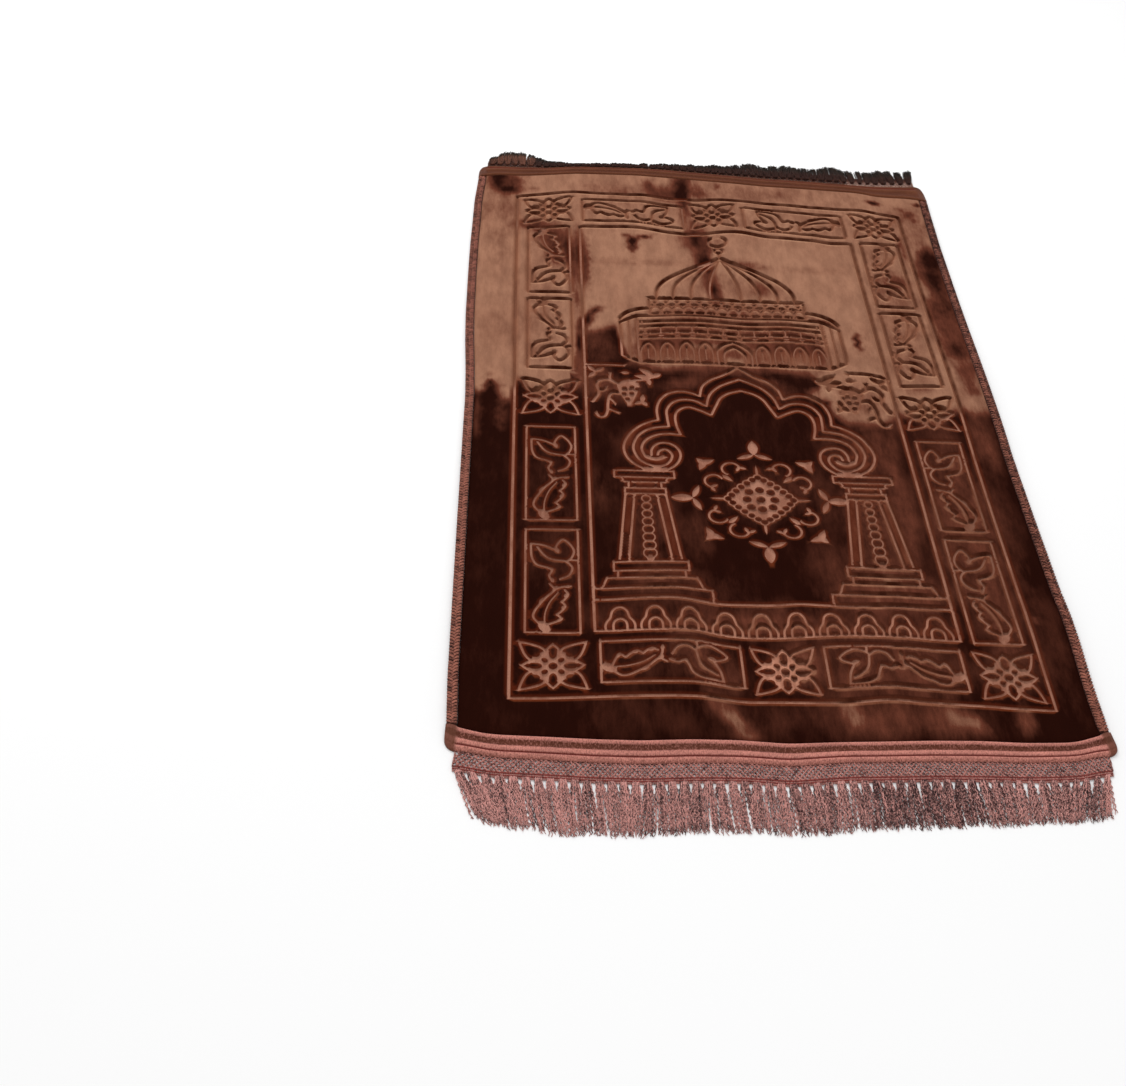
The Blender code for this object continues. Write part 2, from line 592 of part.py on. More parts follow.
def make_fringe(end, rug):
    """The net heading as a narrow strip, with a row of locks drawn out of its outer face."""
    side = "far" if end > 0 else "near"
    pitch = HEADING_LENGTH / TASSELS
    rng = random.Random(f"fringe {side}")
    locks = []
    for k in range(TASSELS):
        for j in range(LOCKS_IN_TASSEL):
            shift = j - (LOCKS_IN_TASSEL - 1) / 2
            locks.append({"tassel": pitch * (k + 0.5) - HEADING_LENGTH / 2, "shift": shift, "share": rng.uniform(0.86, 1)})
    longest = max(lock["share"] for lock in locks)

    columns = [-HEADING_LENGTH / 2]
    for lock in locks:
        middle = lock["tassel"] + lock["shift"] * LOCK_SPREAD["root"]
        columns += [middle - LOCK_WIDTH["root"] / 2, middle + LOCK_WIDTH["root"] / 2]
    columns.append(HEADING_LENGTH / 2)

    inner_y, outer_y = end * (TAPE_EDGE_Y + GAP), end * TASSEL_ROOT_Y
    bm = bmesh.new()
    low = [bm.verts.new((x, outer_y, 0)) for x in columns]
    high = [bm.verts.new((x, outer_y, HEADING_HEIGHT)) for x in columns]
    front = [bm.faces.new((low[i], low[i + 1], high[i + 1], high[i])) for i in range(len(columns) - 1)]
    back = [bm.verts.new((x, inner_y, z)) for x, z in ((columns[0], 0), (columns[-1], 0),
                                                       (columns[-1], HEADING_HEIGHT), (columns[0], HEADING_HEIGHT))]
    bm.faces.new(back)
    bm.faces.new([back[0], back[1]] + low[::-1])
    bm.faces.new([back[3], back[2]] + high[::-1])
    bm.faces.new((back[0], low[0], high[0], back[3]))
    bm.faces.new((back[1], low[-1], high[-1], back[2]))

    for lock, face in zip(locks, front[1::2]):
        length = TASSEL_REACH[side] * lock["share"] / longest
        for row in LOCK_SECTIONS:
            drawn = bmesh.ops.extrude_discrete_faces(bm, faces=[face])
            face = drawn["faces"][0]
            spread = LOCK_SPREAD["root"] + (LOCK_SPREAD["tip"] - LOCK_SPREAD["root"]) * row["along"]
            width = LOCK_WIDTH["root"] + (LOCK_WIDTH["tip"] - LOCK_WIDTH["root"]) * row["along"]
            middle = lock["tassel"] + lock["shift"] * spread + lock_sway(lock["tassel"], row["along"])
            centre_x = sum(v.co.x for v in face.verts) / 4
            for vert in face.verts:
                vert.co.x = middle + math.copysign(width / 2, vert.co.x - centre_x)
                vert.co.y = outer_y + end * length * row["along"]
                vert.co.z = row["height"] if vert.co.z > MM / 2 else 0
    name = f"fringe_{side}"
    colour = (0.40, 0.15, 0.12) if end < 0 else (0.16, 0.065, 0.045)
    return finished(name, bm, principled(name, colour, 0.85, 0.2), rug)


def main():
    for old in list(bpy.data.objects):
        bpy.data.objects.remove(old)
    collection = bpy.data.collections.new("prayer_rug")
    bpy.context.scene.collection.children.link(collection)
    rug = bpy.data.objects.new("prayer_rug", None)
    rug.location.y = CENTRING
    collection.objects.link(rug)
    make_pile_cloth(rug)
    for side in (-1, 1):
        make_binding(side, rug)
        make_end_tape(side, rug)
        make_fringe(side, rug)


main()
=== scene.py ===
"""The finish of a prayer rug of pressed velour: its nap, braids, ribbed tapes, net headings and tassels.

Everything is in metres, +Z up, round the solids of the frame, but the tables of numbers are in millimetres.
The rug is worked out in its own plane, with y = 0 across the middle of the pile cloth and +y towards the dome
end, and is moved to its place as each mesh is made.
"""

import math

import bpy
import numpy as np
from bpy.props import FloatProperty, FloatVectorProperty, IntProperty, PointerProperty
from mathutils import Matrix, Vector
from mathutils.geometry import delaunay_2d_cdt


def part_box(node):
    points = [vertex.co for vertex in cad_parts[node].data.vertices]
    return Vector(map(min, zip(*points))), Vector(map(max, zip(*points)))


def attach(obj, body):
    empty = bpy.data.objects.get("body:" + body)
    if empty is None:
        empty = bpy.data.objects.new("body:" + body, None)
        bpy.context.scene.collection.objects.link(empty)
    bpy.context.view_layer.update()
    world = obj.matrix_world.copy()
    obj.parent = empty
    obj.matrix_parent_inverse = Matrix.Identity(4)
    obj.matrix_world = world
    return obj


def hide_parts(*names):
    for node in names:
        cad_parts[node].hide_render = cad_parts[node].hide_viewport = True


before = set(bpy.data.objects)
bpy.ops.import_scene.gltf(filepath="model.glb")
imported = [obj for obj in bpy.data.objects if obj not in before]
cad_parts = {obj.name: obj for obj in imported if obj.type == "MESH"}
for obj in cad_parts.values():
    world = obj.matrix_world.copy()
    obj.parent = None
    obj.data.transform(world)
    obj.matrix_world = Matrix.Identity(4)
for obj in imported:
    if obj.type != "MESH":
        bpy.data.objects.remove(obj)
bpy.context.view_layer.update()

bl_info = {
    "name": "Pressed velour prayer rug",
    "version": (1, 0, 0),
    "blender": (4, 5, 0),
    "location": "View3D > Sidebar > Rug",
    "description": "Builds the velour, braids, tapes, net headings and tassels of a prayer rug",
    "category": "Object",
}

MM = 0.001
CM = 0.01


def span(node, axis):
    low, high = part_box(node)
    return low[axis], high[axis]


# ---------------------------------------------------------------- sizes that the frame gives

GAP = 0.3 * MM
PILE_X, PILE_Y = span("pile_cloth", 0), span("pile_cloth", 1)
MIDDLE_Y = sum(PILE_Y) / 2  # of the pile cloth, off the middle of the whole because one fringe is longer
EDGE_X = PILE_X[1] + GAP  # where the pile ends and the braid starts
EDGE_Y = (PILE_Y[1] - PILE_Y[0]) / 2 + GAP  # where the pile ends and the tape starts
WIDTH = span("end_tape_near", 0)[1] - span("end_tape_near", 0)[0]
TAPE_EDGE_Y = MIDDLE_Y - span("end_tape_near", 1)[0]
BRAID_WIDTH = WIDTH / 2 - EDGE_X
BRAID_HEIGHT = 8 * MM
PILE_HEIGHT = 6 * MM
HEADING_LENGTH, HEADING_WIDTH = 674 * MM, 24 * MM
TASSEL_ROOT_Y = TAPE_EDGE_Y + HEADING_WIDTH
TASSEL_REACH = {
    -1: MIDDLE_Y - TASSEL_ROOT_Y - span("fringe_near", 1)[0],
    1: span("fringe_far", 1)[1] - MIDDLE_Y - TASSEL_ROOT_Y,
}
TASSELS = 55
SIDES = {-1: "left", 1: "right"}
ENDS = {-1: "near", 1: "far"}
TAPE_TURN = {"reach": 42 * MM, "rise": 9 * MM}  # how the tape turns in towards the braid at a corner
TAPE_CORNER = 14 * MM

# ---------------------------------------------------------------- how the soft cloth lies

# Soft rises off the floor: each one's middle, its half size across and along, and its height
RIPPLES = (
    (-165, 430, 95, 140, 5), (70, 425, 90, 145, 5.5), (235, 430, 75, 140, 3), (-45, 160, 80, 120, 4),
    (90, 150, 60, 100, 3), (-150, -440, 100, 130, 5), (95, -445, 90, 125, 5), (300, 40, 80, 180, 4),
)
# How each end of the cloth bows along the rug, by where across it
END_BOW = {
    -1: (
        (-330, 6), (-300, 1.5), (-250, 0), (-200, -2), (-150, -2.5), (-100, 0.5), (-50, 0.5), (0, -3),
        (50, 0), (100, 2), (150, 4.5), (200, 5.5), (250, 4), (300, 5.5), (330, 12)),
    1: (
        (-330, 0), (-280, 0), (-250, 4), (-200, 12), (-150, 13), (-100, 13.5), (-50, 9), (0, 4), (50, -1),
        (100, -7), (150, -9), (200, -13), (250, -17), (275, -26), (300, -28), (345, -28)),
}
# How much wider each tape lies, by where across the rug
STRETCH = {
    -1: ((-340, -2), (-300, -5), (-200, -6), (-100, -6), (0, -5), (60, -2), (200, -3), (280, -1), (345, 1)),
    1: (
        (-340, 6), (-270, 4), (-250, 0), (-100, 1), (-50, 3), (0, 2), (250, 2), (275, 10), (300, 13),
        (330, 15), (345, 21)),
}
# How far the long edges wander, by where along the rug
SIDE_BOW = {
    -1: (
        (-640, -9), (-605, -8), (-575, -4), (-545, -2.5), (-480, -4.2), (-240, -3.7), (-60, -3), (0, -2.6),
        (60, -4.3), (120, -7), (180, -8.5), (300, -8.5), (360, -8), (420, -6.6), (480, -5.4), (530, -2),
        (575, 0)),
    1: (
        (-640, -6), (-605, -3), (-575, 0), (-545, -5), (-490, -5), (-450, -3.8), (-410, -1.9), (-370, -1.3),
        (-330, -3.1), (-210, -3.3), (-90, -3), (-50, -1.9), (150, -0.6), (270, 0), (390, 1.2), (470, 3.8),
        (520, 5), (575, 6.5)),
}
# How long the fringes show beside their full length, by where across the rug
NEAR_TRIM = (
    (-330, 0.93), (-290, 1.06), (-250, 1.11), (-100, 1.06), (0, 1.03), (100, 1), (200, 0.95), (250, 0.89),
    (300, 0.86), (330, 0.9))
FAR_GATHER = (
    (-330, 0.72), (-315, 1.02), (-292, 1.22), (-276, 1.12), (-262, 0.84), (-240, 0.6), (-205, 0.38),
    (-150, 0.4), (-100, 0.42), (-50, 0.55), (0, 0.66), (50, 0.82), (85, 1.12), (110, 0.95), (150, 1.14),
    (165, 1.04), (200, 1.18), (222, 1.34), (236, 1.02), (280, 1.08), (300, 1.18), (330, 1.15))
KINK = 9  # over which a bend in such a row is eased
BOW_BAND = (512 * MM, 553 * MM)  # the ends start to bow at the first of these, and bow fully at the second
BOW_SOONER = 35 * MM  # how much sooner they start at the right corners
SIDE_BAND = (270, 336)  # the same for the long edges


def between(table, at):
    """The table's value at places along it, with its bends eased."""
    keys, values = zip(*table)
    beside = [np.asarray(at) + KINK * step for step in (-1, -0.5, 0, 0.5, 1)]
    return np.mean([np.interp(place, keys, values) for place in beside], axis=0)


def settled(points):
    """The points as the soft cloth lies: its ends and edges bow, and the far fringe is gathered in."""
    x, y = points[:, 0] / MM, points[:, 1]
    y = y - np.maximum(0, y - TAPE_EDGE_Y) * (1 - between(FAR_GATHER, x))
    start = BOW_BAND[0] - BOW_SOONER * smooth(225, 280, x)
    for end, bow in END_BOW.items():
        out = end * points[:, 1]
        y = y + between(STRETCH[end], x) * MM * np.clip((out - EDGE_Y) / (TAPE_EDGE_Y - EDGE_Y), 0, 1)
        y = y + between(bow, x) * MM * smooth(0, 1, (out - start) / (BOW_BAND[1] - start))
    for side, bow in SIDE_BOW.items():
        x = x + between(bow, points[:, 1] / MM) * smooth(*SIDE_BAND, side * x)
    return np.column_stack([x * MM, y, points[:, 2]])


def hump(t):
    return np.where(np.abs(t) < 1, (1 - t * t) ** 2, 0.0)


def ripple(x, y):
    """Height of the cloth's underside above the floor."""
    x, y = np.asarray(x, float), np.asarray(y, float)
    return sum(height * MM * hump((x - at_x * MM) / (across * MM)) * hump((y - at_y * MM) / (along * MM))
               for at_x, at_y, across, along, height in RIPPLES)


def tape_inner(x):
    """Distance from the middle to the tape's inner edge: straight, then turned in at the corners."""
    s = np.maximum(0.0, (np.abs(x) - (WIDTH / 2 - TAPE_TURN["reach"])) / TAPE_TURN["reach"])
    return EDGE_Y - TAPE_TURN["rise"] * s * s


def tape_outer(x):
    past = np.maximum(0.0, np.abs(x) - (WIDTH / 2 - TAPE_CORNER))
    return TAPE_EDGE_Y - TAPE_CORNER + np.sqrt(np.maximum(0.0, TAPE_CORNER**2 - past**2))


def smooth(low, high, value):
    t = np.clip((np.asarray(value, float) - low) / (high - low), 0, 1)
    return t * t * (3 - 2 * t)


# ---------------------------------------------------------------- drawing the pressed pattern

LINE, FINE, HAIR = 1.8 * MM, 1.5 * MM, 1.2 * MM  # half widths of pressed lines
WALL = 1.6 * MM  # how wide the slope from the face down to a pressed floor is
TURN_STEP, RUN_STEP = 2.6 * MM, 5 * MM  # spacing of points round a curve, and along a straight run

FRAME_OUTER, FRAME_INNER = (292 * MM, 504 * MM), (204 * MM, 407 * MM)
SIDE_PANEL_X, SIDE_PANELS_Y = (219 * MM, 277 * MM), ((59 * MM, 225 * MM), (241 * MM, 409 * MM))
END_PANEL_X, END_PANEL_Y = (46 * MM, 199 * MM), (423 * MM, 484 * MM)
END_ROSETTE_Y = 458 * MM


def stroke(points, half=LINE, halves=None):
    """A pressed line: its points, and its half width at each."""
    return {"points": [tuple(p) for p in points], "halves": halves or [half] * len(points)}


def straight(points, half=LINE):
    made = [points[0]]
    for (ax, ay), (bx, by) in zip(points, points[1:]):
        parts = max(1, math.ceil(math.dist((ax, ay), (bx, by)) / RUN_STEP))
        made += [(ax + (bx - ax) * i / parts, ay + (by - ay) * i / parts) for i in range(1, parts + 1)]
    return stroke(made, half)


def rectangle(x0, y0, x1, y1, half=LINE):
    return straight([(x0, y0), (x1, y0), (x1, y1), (x0, y1), (x0, y0)], half)


def curve(points, half=LINE, unit=MM):
    """A smooth line through the points."""
    p = np.array(points, float) * unit
    ends = np.vstack([2 * p[0] - p[1], p, 2 * p[-1] - p[-2]])
    made = [p[0]]
    for k in range(len(p) - 1):
        a, b, c, d = ends[k : k + 4]
        steps = max(2, math.ceil(np.linalg.norm(c - b) / TURN_STEP))
        for i in range(1, steps + 1):
            t = i / steps
            square, cube = 2 * a - 5 * b + 4 * c - d, 3 * b - a - 3 * c + d
            made.append(0.5 * (2 * b + (c - a) * t + square * t**2 + cube * t**3))
    return stroke(made, half)


def polar(origin, degrees, r):
    a = math.radians(degrees)
    return (origin[0] + r * math.cos(a), origin[1] + r * math.sin(a))


def spoke(degrees, r):
    """A place out from the middle, r millimetres away."""
    return polar((0, 0), degrees, r * MM)


def arc(centre, r, start, end, half=FINE, squeeze=1.0):
    steps = max(4, math.ceil(math.radians(abs(end - start)) * r / TURN_STEP))
    made = [polar((0, 0), start + (end - start) * i / steps, r) for i in range(steps + 1)]
    return stroke([(centre[0] + x * squeeze, centre[1] + y) for x, y in made], half)


def bezier(p0, p1, p2, p3, half=LINE):
    steps = max(4, math.ceil((math.dist(p0, p1) + math.dist(p1, p2) + math.dist(p2, p3)) / TURN_STEP))
    made = []
    for i in range(steps + 1):
        t = i / steps
        weights = ((1 - t) ** 3, 3 * t * (1 - t) ** 2, 3 * t * t * (1 - t), t**3)
        made.append(tuple(sum(w * p[k] for w, p in zip(weights, (p0, p1, p2, p3))) for k in (0, 1)))
    return stroke(made, half)


def leaf(base, degrees, length, width, blunt=0.9):
    """The outline of a pointed leaf, from its base round its tip and back."""
    cos, sin = math.cos(math.radians(degrees)), math.sin(math.radians(degrees))
    steps = max(5, math.ceil(length / TURN_STEP))
    made = []
    for i in range(2 * steps + 1):
        s = i / steps if i <= steps else 2 - i / steps
        across = (1 if i <= steps else -1) * width / 2 * math.sin(math.pi * s**blunt)
        made.append((base[0] + s * length * cos - across * sin, base[1] + s * length * sin + across * cos))
    return stroke(made, FINE)


def petal(base, degrees, length, width, blunt=0.9):
    """A petal pressed all over, swelling and narrowing to a tip."""
    steps = max(4, math.ceil(length / TURN_STEP))
    shares = [i / steps for i in range(steps + 1)]
    halves = [max(0.5 * MM, width / 2 * math.sin(math.pi * s**blunt)) for s in shares]
    return stroke([polar(base, degrees, length * s) for s in shares], halves=halves)


def drops(rows):
    """Petals, from rows of a root's x and y, degrees, a length and a width."""
    return [petal((x * MM, y * MM), turn, length * MM, width * MM) for x, y, turn, length, width in rows]


def island(centre, along, across, degrees=0.0):
    """A patch left standing inside a pressed field."""
    return {"island": True, "points": [centre], "halves": [along, across], "turn": degrees}


def placed(strokes, origin=(0, 0), turn=0, mirror=False, stretch=(1, 1)):
    """Strokes in a motif's own frame, stretched, mirrored in x if asked, turned by degrees, then moved."""
    cos, sin = math.cos(math.radians(turn)), math.sin(math.radians(turn))
    side = -1 if mirror else 1
    made = []
    for s in strokes:
        points = [(origin[0] + side * stretch[0] * x * cos - stretch[1] * y * sin,
                   origin[1] + side * stretch[0] * x * sin + stretch[1] * y * cos) for x, y in s["points"]]
        made.append({**s, "points": points, "turn": turn + side * s.get("turn", 0)})
    return made


def both_sides(strokes):
    return strokes + placed(strokes, mirror=True)


# Islands round a rosette: degrees past a petal, distance from its middle, half length and half width
ROSETTE_ISLANDS = ((0, 18.5, 7.6, 4.3), (45, 28, 8, 5.6), (45, 12, 3.8, 3.1))


def rosette():
    """Four pointed petals between four ovals, with islands of pile left in each."""
    made = [petal((-21 * MM, 0), 0, 42 * MM, 44 * MM, 1.0)]
    for k in range(4):
        made.append(leaf(spoke(90 * k, 8), 90 * k, 24 * MM, 15 * MM))
        made.append(leaf(spoke(90 * k + 45, 13), 90 * k + 45, 36 * MM, 21 * MM, 0.62))
    for k in range(4):
        for turn, r, along, across in ROSETTE_ISLANDS:
            made.append(island(spoke(90 * k + turn, r), along * MM, across * MM, 90 * k + turn))
    made.append(island((0, 0), 4.8 * MM, 4.8 * MM))
    return made

# A panel's sprig, on a panel 55 wide and 167 high with its foot at the bottom: a leaf with one toothed edge,
# and a curled flower over it
SPRIG_PANEL = (55 * MM, 167 * MM)
SPRIG_LINES = {
    "leaf's smooth edge": ((-13, 14), (-19, 24), (-18, 34), (-13, 45), (-7, 56), (0, 65), (4, 71)),
    "leaf's cap": ((-2, 77), (3, 71), (10, 73), (17, 74)),
    "first tooth": ((-6, 13), (2, 17), (9, 22), (5, 29)),
    "second tooth": ((4, 29), (9, 35), (13, 43), (10, 50)),
    "third tooth": ((9, 50), (13, 55), (16, 62), (13, 68)),
    "midrib": ((-8, 14), (-7, 32), (-2, 50), (6, 64)),
    "left petal's edge": ((-22, 143), (-21, 121), (-16, 109), (-6, 104), (1, 101)),
    "left petal's lip": ((-22, 143), (-8, 140), (4, 133)),
    "left petal's fold": ((-15, 137), (-8, 124), (0, 117), (14, 114)),
    "right petal": ((3, 134), (7, 145), (12, 150), (19, 142), (23, 131), (21, 121), (17, 115)),
    "tie to the panel": ((19, 116), (27, 115)),
    "right stem": ((14, 114), (19, 108), (21, 101), (17, 91), (8, 85)),
    "left stem": ((-5, 104), (0, 99), (-3, 91), (0, 82)),
}
SPRIG_DROPS = (
    (-4, 1, 118, 20, 12), (-13, 46, 68, 12, 5), (1, 67, 60, 9, 6), (12, 73, 10, 9, 5), (4, 18, 40, 9, 5),
    (9, 38, 55, 9, 5), (12, 57, 60, 9, 5), (4, 137, -75, 11, 6), (-1, 88, -75, 9, 5),
)


def sprig(length, width):
    made = [curve(points, HAIR if part == "midrib" else FINE) for part, points in SPRIG_LINES.items()]
    return placed(made + drops(SPRIG_DROPS), stretch=(width / SPRIG_PANEL[0], length / SPRIG_PANEL[1]))


def border():
    made = [rectangle(-x, -y, x, y) for x, y in (FRAME_OUTER, FRAME_INNER)]
    (left, right), (inner, outer), (foot, head) = SIDE_PANEL_X, END_PANEL_X, END_PANEL_Y
    middle_x, middle_y = sum(SIDE_PANEL_X) / 2, sum(END_PANEL_Y) / 2
    for up in (1, -1):
        for low, high in SIDE_PANELS_Y:
            motif = placed(sprig(high - low, right - left), turn=180 if up > 0 else 0, mirror=up > 0)
            made += both_sides([rectangle(left, up * low, right, up * high, FINE)])
            made += both_sides(placed(motif, (middle_x, up * high), mirror=True))
        motif = placed(sprig(outer - inner, head - foot), (outer, up * middle_y), turn=90, mirror=up > 0)
        made += both_sides([rectangle(inner, up * foot, outer, up * head, FINE)]) + both_sides(motif)
        for x in (-middle_x, 0, middle_x):
            made += placed(rosette(), (x, up * END_ROSETTE_Y))
    for x in (-middle_x, middle_x):
        made += placed(rosette(), (x, 0))
    return made

BAND_TOP = -355 * MM
LOTUSES = {"count": 10, "pitch": 39.6 * MM, "first": -176 * MM}
# The right half of the bell, and the plain arch inside it
LOTUS_BELL = ((16, 0), (16.4, 8), (14.5, 15), (11, 20.5), (9.6, 26), (8, 32), (4.4, 36.6), (0, 38))
LOTUS_ARCH = ((7.4, 0), (7.6, 8.5), (5.8, 15.5), (0, 19), (-5.8, 15.5), (-7.6, 8.5), (-7.4, 0))


def lotus_band():
    """The row of bell-shaped arches under the floor line."""
    bell = LOTUS_BELL + tuple((-x, y) for x, y in LOTUS_BELL[-2::-1])
    made = [straight([(-FRAME_INNER[0], BAND_TOP), (FRAME_INNER[0], BAND_TOP)])]
    for k in range(LOTUSES["count"]):
        at = (LOTUSES["first"] + k * LOTUSES["pitch"], -FRAME_INNER[1])
        made += placed([curve(bell, FINE), curve(LOTUS_ARCH, FINE)], at)
    return made

COLUMN_X = 136 * MM
# The column's blocks from the floor line up: each one's foot and head, and its half widths there
COLUMN_BLOCKS = (
    (-355, -338, 67.5, 67.5), (-338, -322, 58, 52), (-322, -311, 39, 39), (-311, -297, 43.5, 43.5),
    (-181, -171, 25, 25), (-171, -160, 20, 20), (-160, -151, 25, 29), (-151, -139, 37, 37),
)
SHAFT = {"foot": -297 * MM, "head": -181 * MM, "lines": ((36.5 * MM, 24.5 * MM), (25.5 * MM, 13.5 * MM))}
CHAIN = {"links": 8, "foot": -290 * MM, "head": -183 * MM, "largest": 8.2 * MM, "smallest": 5.6 * MM}
PLUG = {"x": 14 * MM, "half": 12.5 * MM, "y": -135 * MM}  # joins the column to the scroll, inward of it


def column():
    """The right column: its stepped foot and head, fluted shaft and chain."""
    made = []
    for block in COLUMN_BLOCKS:
        foot, head, low, high = (v * MM for v in block)
        made.append(straight([(-low, foot), (low, foot), (high, head), (-high, head), (-low, foot)], FINE))
    for foot, head in SHAFT["lines"]:
        made += both_sides([straight([(foot, SHAFT["foot"]), (head, SHAFT["head"])], FINE)])
    step = (CHAIN["head"] - CHAIN["foot"]) / CHAIN["links"]
    for k in range(CHAIN["links"]):
        r = CHAIN["largest"] + (CHAIN["smallest"] - CHAIN["largest"]) * (k / (CHAIN["links"] - 1))
        made.append(arc((0, CHAIN["foot"] + step * (k + 0.5)), r, 90, 450, HAIR, squeeze=0.92))
    made.append(petal((0, SHAFT["foot"] + 9 * MM), -90, 9 * MM, 9 * MM))
    made.append(stroke([(side * PLUG["half"] - PLUG["x"], PLUG["y"]) for side in (-1, 1)], 3.6 * MM))
    return made


# The left half of the arch's three lines, outer to inner: the crown from its point down to the cusp, the lobe
# from there to its notch, and the scroll that winds in from the notch
ARCH_LINES = (
    (
        ((0, 76), (-20, 58), (-39, 46), (-50, 32), (-55, 11)),
        ((-55, 11), (-67, 18), (-81, 20), (-97, 14), (-108, 0), (-113, -19), (-112.5, -40)),
        ((-112.5, -40), (-123, -44), (-136, -52), (-148, -65), (-156, -81), (-159, -96), (-157, -110),
         (-150, -123), (-140, -132), (-129, -137), (-117, -138), (-104, -134), (-94, -124), (-89, -112),
         (-89, -101), (-93, -92), (-101, -86), (-111, -85), (-119, -89), (-124, -98), (-125, -109)),
    ),
    (
        ((0, 50), (-18, 40), (-31, 30), (-42, 14), (-48, -9)),
        ((-48, -9), (-62, 1), (-79, 3), (-92, -4), (-100, -19), (-100.5, -36), (-99.5, -52)),
        ((-99.5, -52), (-112, -54), (-125, -58), (-137, -68), (-144, -81), (-147, -95), (-145, -107),
         (-140, -118), (-131, -126), (-120, -129.5), (-109, -127), (-102, -119), (-99, -109), (-102, -101),
         (-108, -97.5), (-115, -101), (-117, -108)),
    ),
    (
        ((0, 26), (-17, 19), (-28, 9), (-35, -7), (-43, -27)),
        ((-43, -27), (-57, -18), (-72, -12), (-85, -19), (-90, -32), (-89.5, -50), (-85.5, -68)),
        ((-85.5, -68), (-101, -66.5), (-115, -69), (-127, -76), (-134, -86), (-136.5, -98), (-133, -111)),
    ),
)
SCROLL_HEART = ((-131, -112), (-125, -115.5), (-117, -116), (-110, -112))


def arch_half():
    return [curve(run) for line in ARCH_LINES for run in line] + [curve(SCROLL_HEART, 3.4 * MM)]

MEDALLION = (4 * MM, -186 * MM)
DIAMOND = 43 * MM  # from its middle to each point
DIAMOND_LINES = (0.14, 0.34, 0.54, 0.74)
DOTS_ON_A_SIDE = 6
DOT = 5.4 * MM
HOOK = {"out": 63, "r": 11.5 * MM}


def medallion():
    """A dotted diamond with a trefoil off each point, and a bud between two hooks off each side."""
    made = []
    for share in DIAMOND_LINES:
        made.append(straight([polar((0, 0), 90 * k, DIAMOND * share) for k in range(5)], 5 * MM))
    for k in range(4):
        point, diagonal = 90 * k, 90 * k + 45
        (ax, ay), (bx, by) = polar((0, 0), point, DIAMOND), polar((0, 0), point + 90, DIAMOND)
        for i in range(DOTS_ON_A_SIDE):
            t = i / DOTS_ON_A_SIDE
            out = 1 + 0.10 * math.sin(math.pi * t)
            at = ((ax + (bx - ax) * t) * out * 0.93, (ay + (by - ay) * t) * out * 0.93)
            made += [arc(at, 5.0 * MM, 0, 360, 1.3 * MM), island(at, 4.2 * MM, 4.2 * MM)]
        root, bud = spoke(point, 83), spoke(diagonal, 92)
        made.append(petal(spoke(point, 42), point, 24 * MM, 3.8 * MM, 0.6))
        made.append(petal(root, point, 27 * MM, 13 * MM))
        for side, dot in ((-1, spoke(point, 17)), (1, spoke(diagonal, 19))):
            made += [petal(root, point + 112 * side, 25 * MM, 7.5 * MM), island(dot, DOT, DOT)]
        made.append(petal(spoke(diagonal, 60), diagonal + 180, 17 * MM, 6.5 * MM, 0.6))
        for side in (-1, 0, 1):
            made.append(petal(bud, diagonal + 112 * side, 16 * MM if side else 12 * MM, 9.5 * MM, 0.45))
            if side:
                hub = spoke(diagonal + 15 * side, HOOK["out"])
                made.append(arc(hub, HOOK["r"], diagonal + 112 * side, diagonal - 108 * side))
                end = polar(hub, diagonal + 112 * side, HOOK["r"])
                made += [petal(end, diagonal + (112 + lean) * side, 10 * MM, 5 * MM) for lean in (50, 140)]
    made.append(island((0, 0), DOT, DOT))
    return placed(made, MEDALLION)

# The vine left of the arch: each line's half width and its points
VINE_LINES = {
    "hook": (2.2, ((-165, 34), (-176, 41), (-186, 37), (-189, 27), (-187, 17), (-188, 8), (-195, -7))),
    "hook's spur": (1.5, ((-187, 18), (-180, 16), (-177, 22))),
    "branch to the bunch": (1.9, ((-171, 52), (-171, 42), (-163, 33), (-158, 26), (-157, 16))),
    "lower curl": (2, (
        (-158, 11), (-169, 12), (-174, 3), (-176, -12), (-177, -26), (-181, -36), (-187, -37), (-191, -31))),
    "upper spike": (1.5, ((-174, 2), (-169, -5), (-166, -11))),
    "lower spike": (1.7, ((-176, -20), (-170, -24), (-165, -27))),
    "stem to the leaf": (2, ((-148, 36), (-139, 40), (-128, 42), (-118, 46))),
}
VINE_DROPS = (
    (-190, 56, 128, 17, 7), (-190, 56, 232, 16, 7), (-191, 56, 40, 16, 7), (-156, 56, 0, 11, 7),
    (-116, 47, 172, 24, 9), (-112, 50, 140, 26, 10), (-118, 48, 28, 17, 10), (-121, 45, 278, 15, 7),
    (-131, -5, 84, 16, 7), (-131, -3, 215, 13, 7), (-131, -3, 300, 12, 7),
)
# The bunch, pressed all over but for its grapes
BUNCH = {"top": 30 * MM, "foot": -8 * MM, "x": -148 * MM, "half": 16 * MM, "tip": 3 * MM, "steps": 10}
GRAPES = ((-153, 24), (-143, 26), (-136, 22), (-154, 12), (-144, 13), (-150, 1))


def vine():
    made = [curve(points, half * MM) for half, points in VINE_LINES.values()] + drops(VINE_DROPS)
    shares = [i / BUNCH["steps"] for i in range(BUNCH["steps"] + 1)]
    points = [(BUNCH["x"], BUNCH["foot"] + (BUNCH["top"] - BUNCH["foot"]) * i / BUNCH["steps"])
              for i in range(BUNCH["steps"] + 1)]
    halves = [BUNCH["tip"] + (BUNCH["half"] - BUNCH["tip"]) * s**0.8 * (1 - 0.35 * (s == 1)) for s in shares]
    made.append(stroke(points, halves=halves))
    return made + [island((x * MM, y * MM), 3.4 * MM, 3.4 * MM) for x, y in GRAPES]

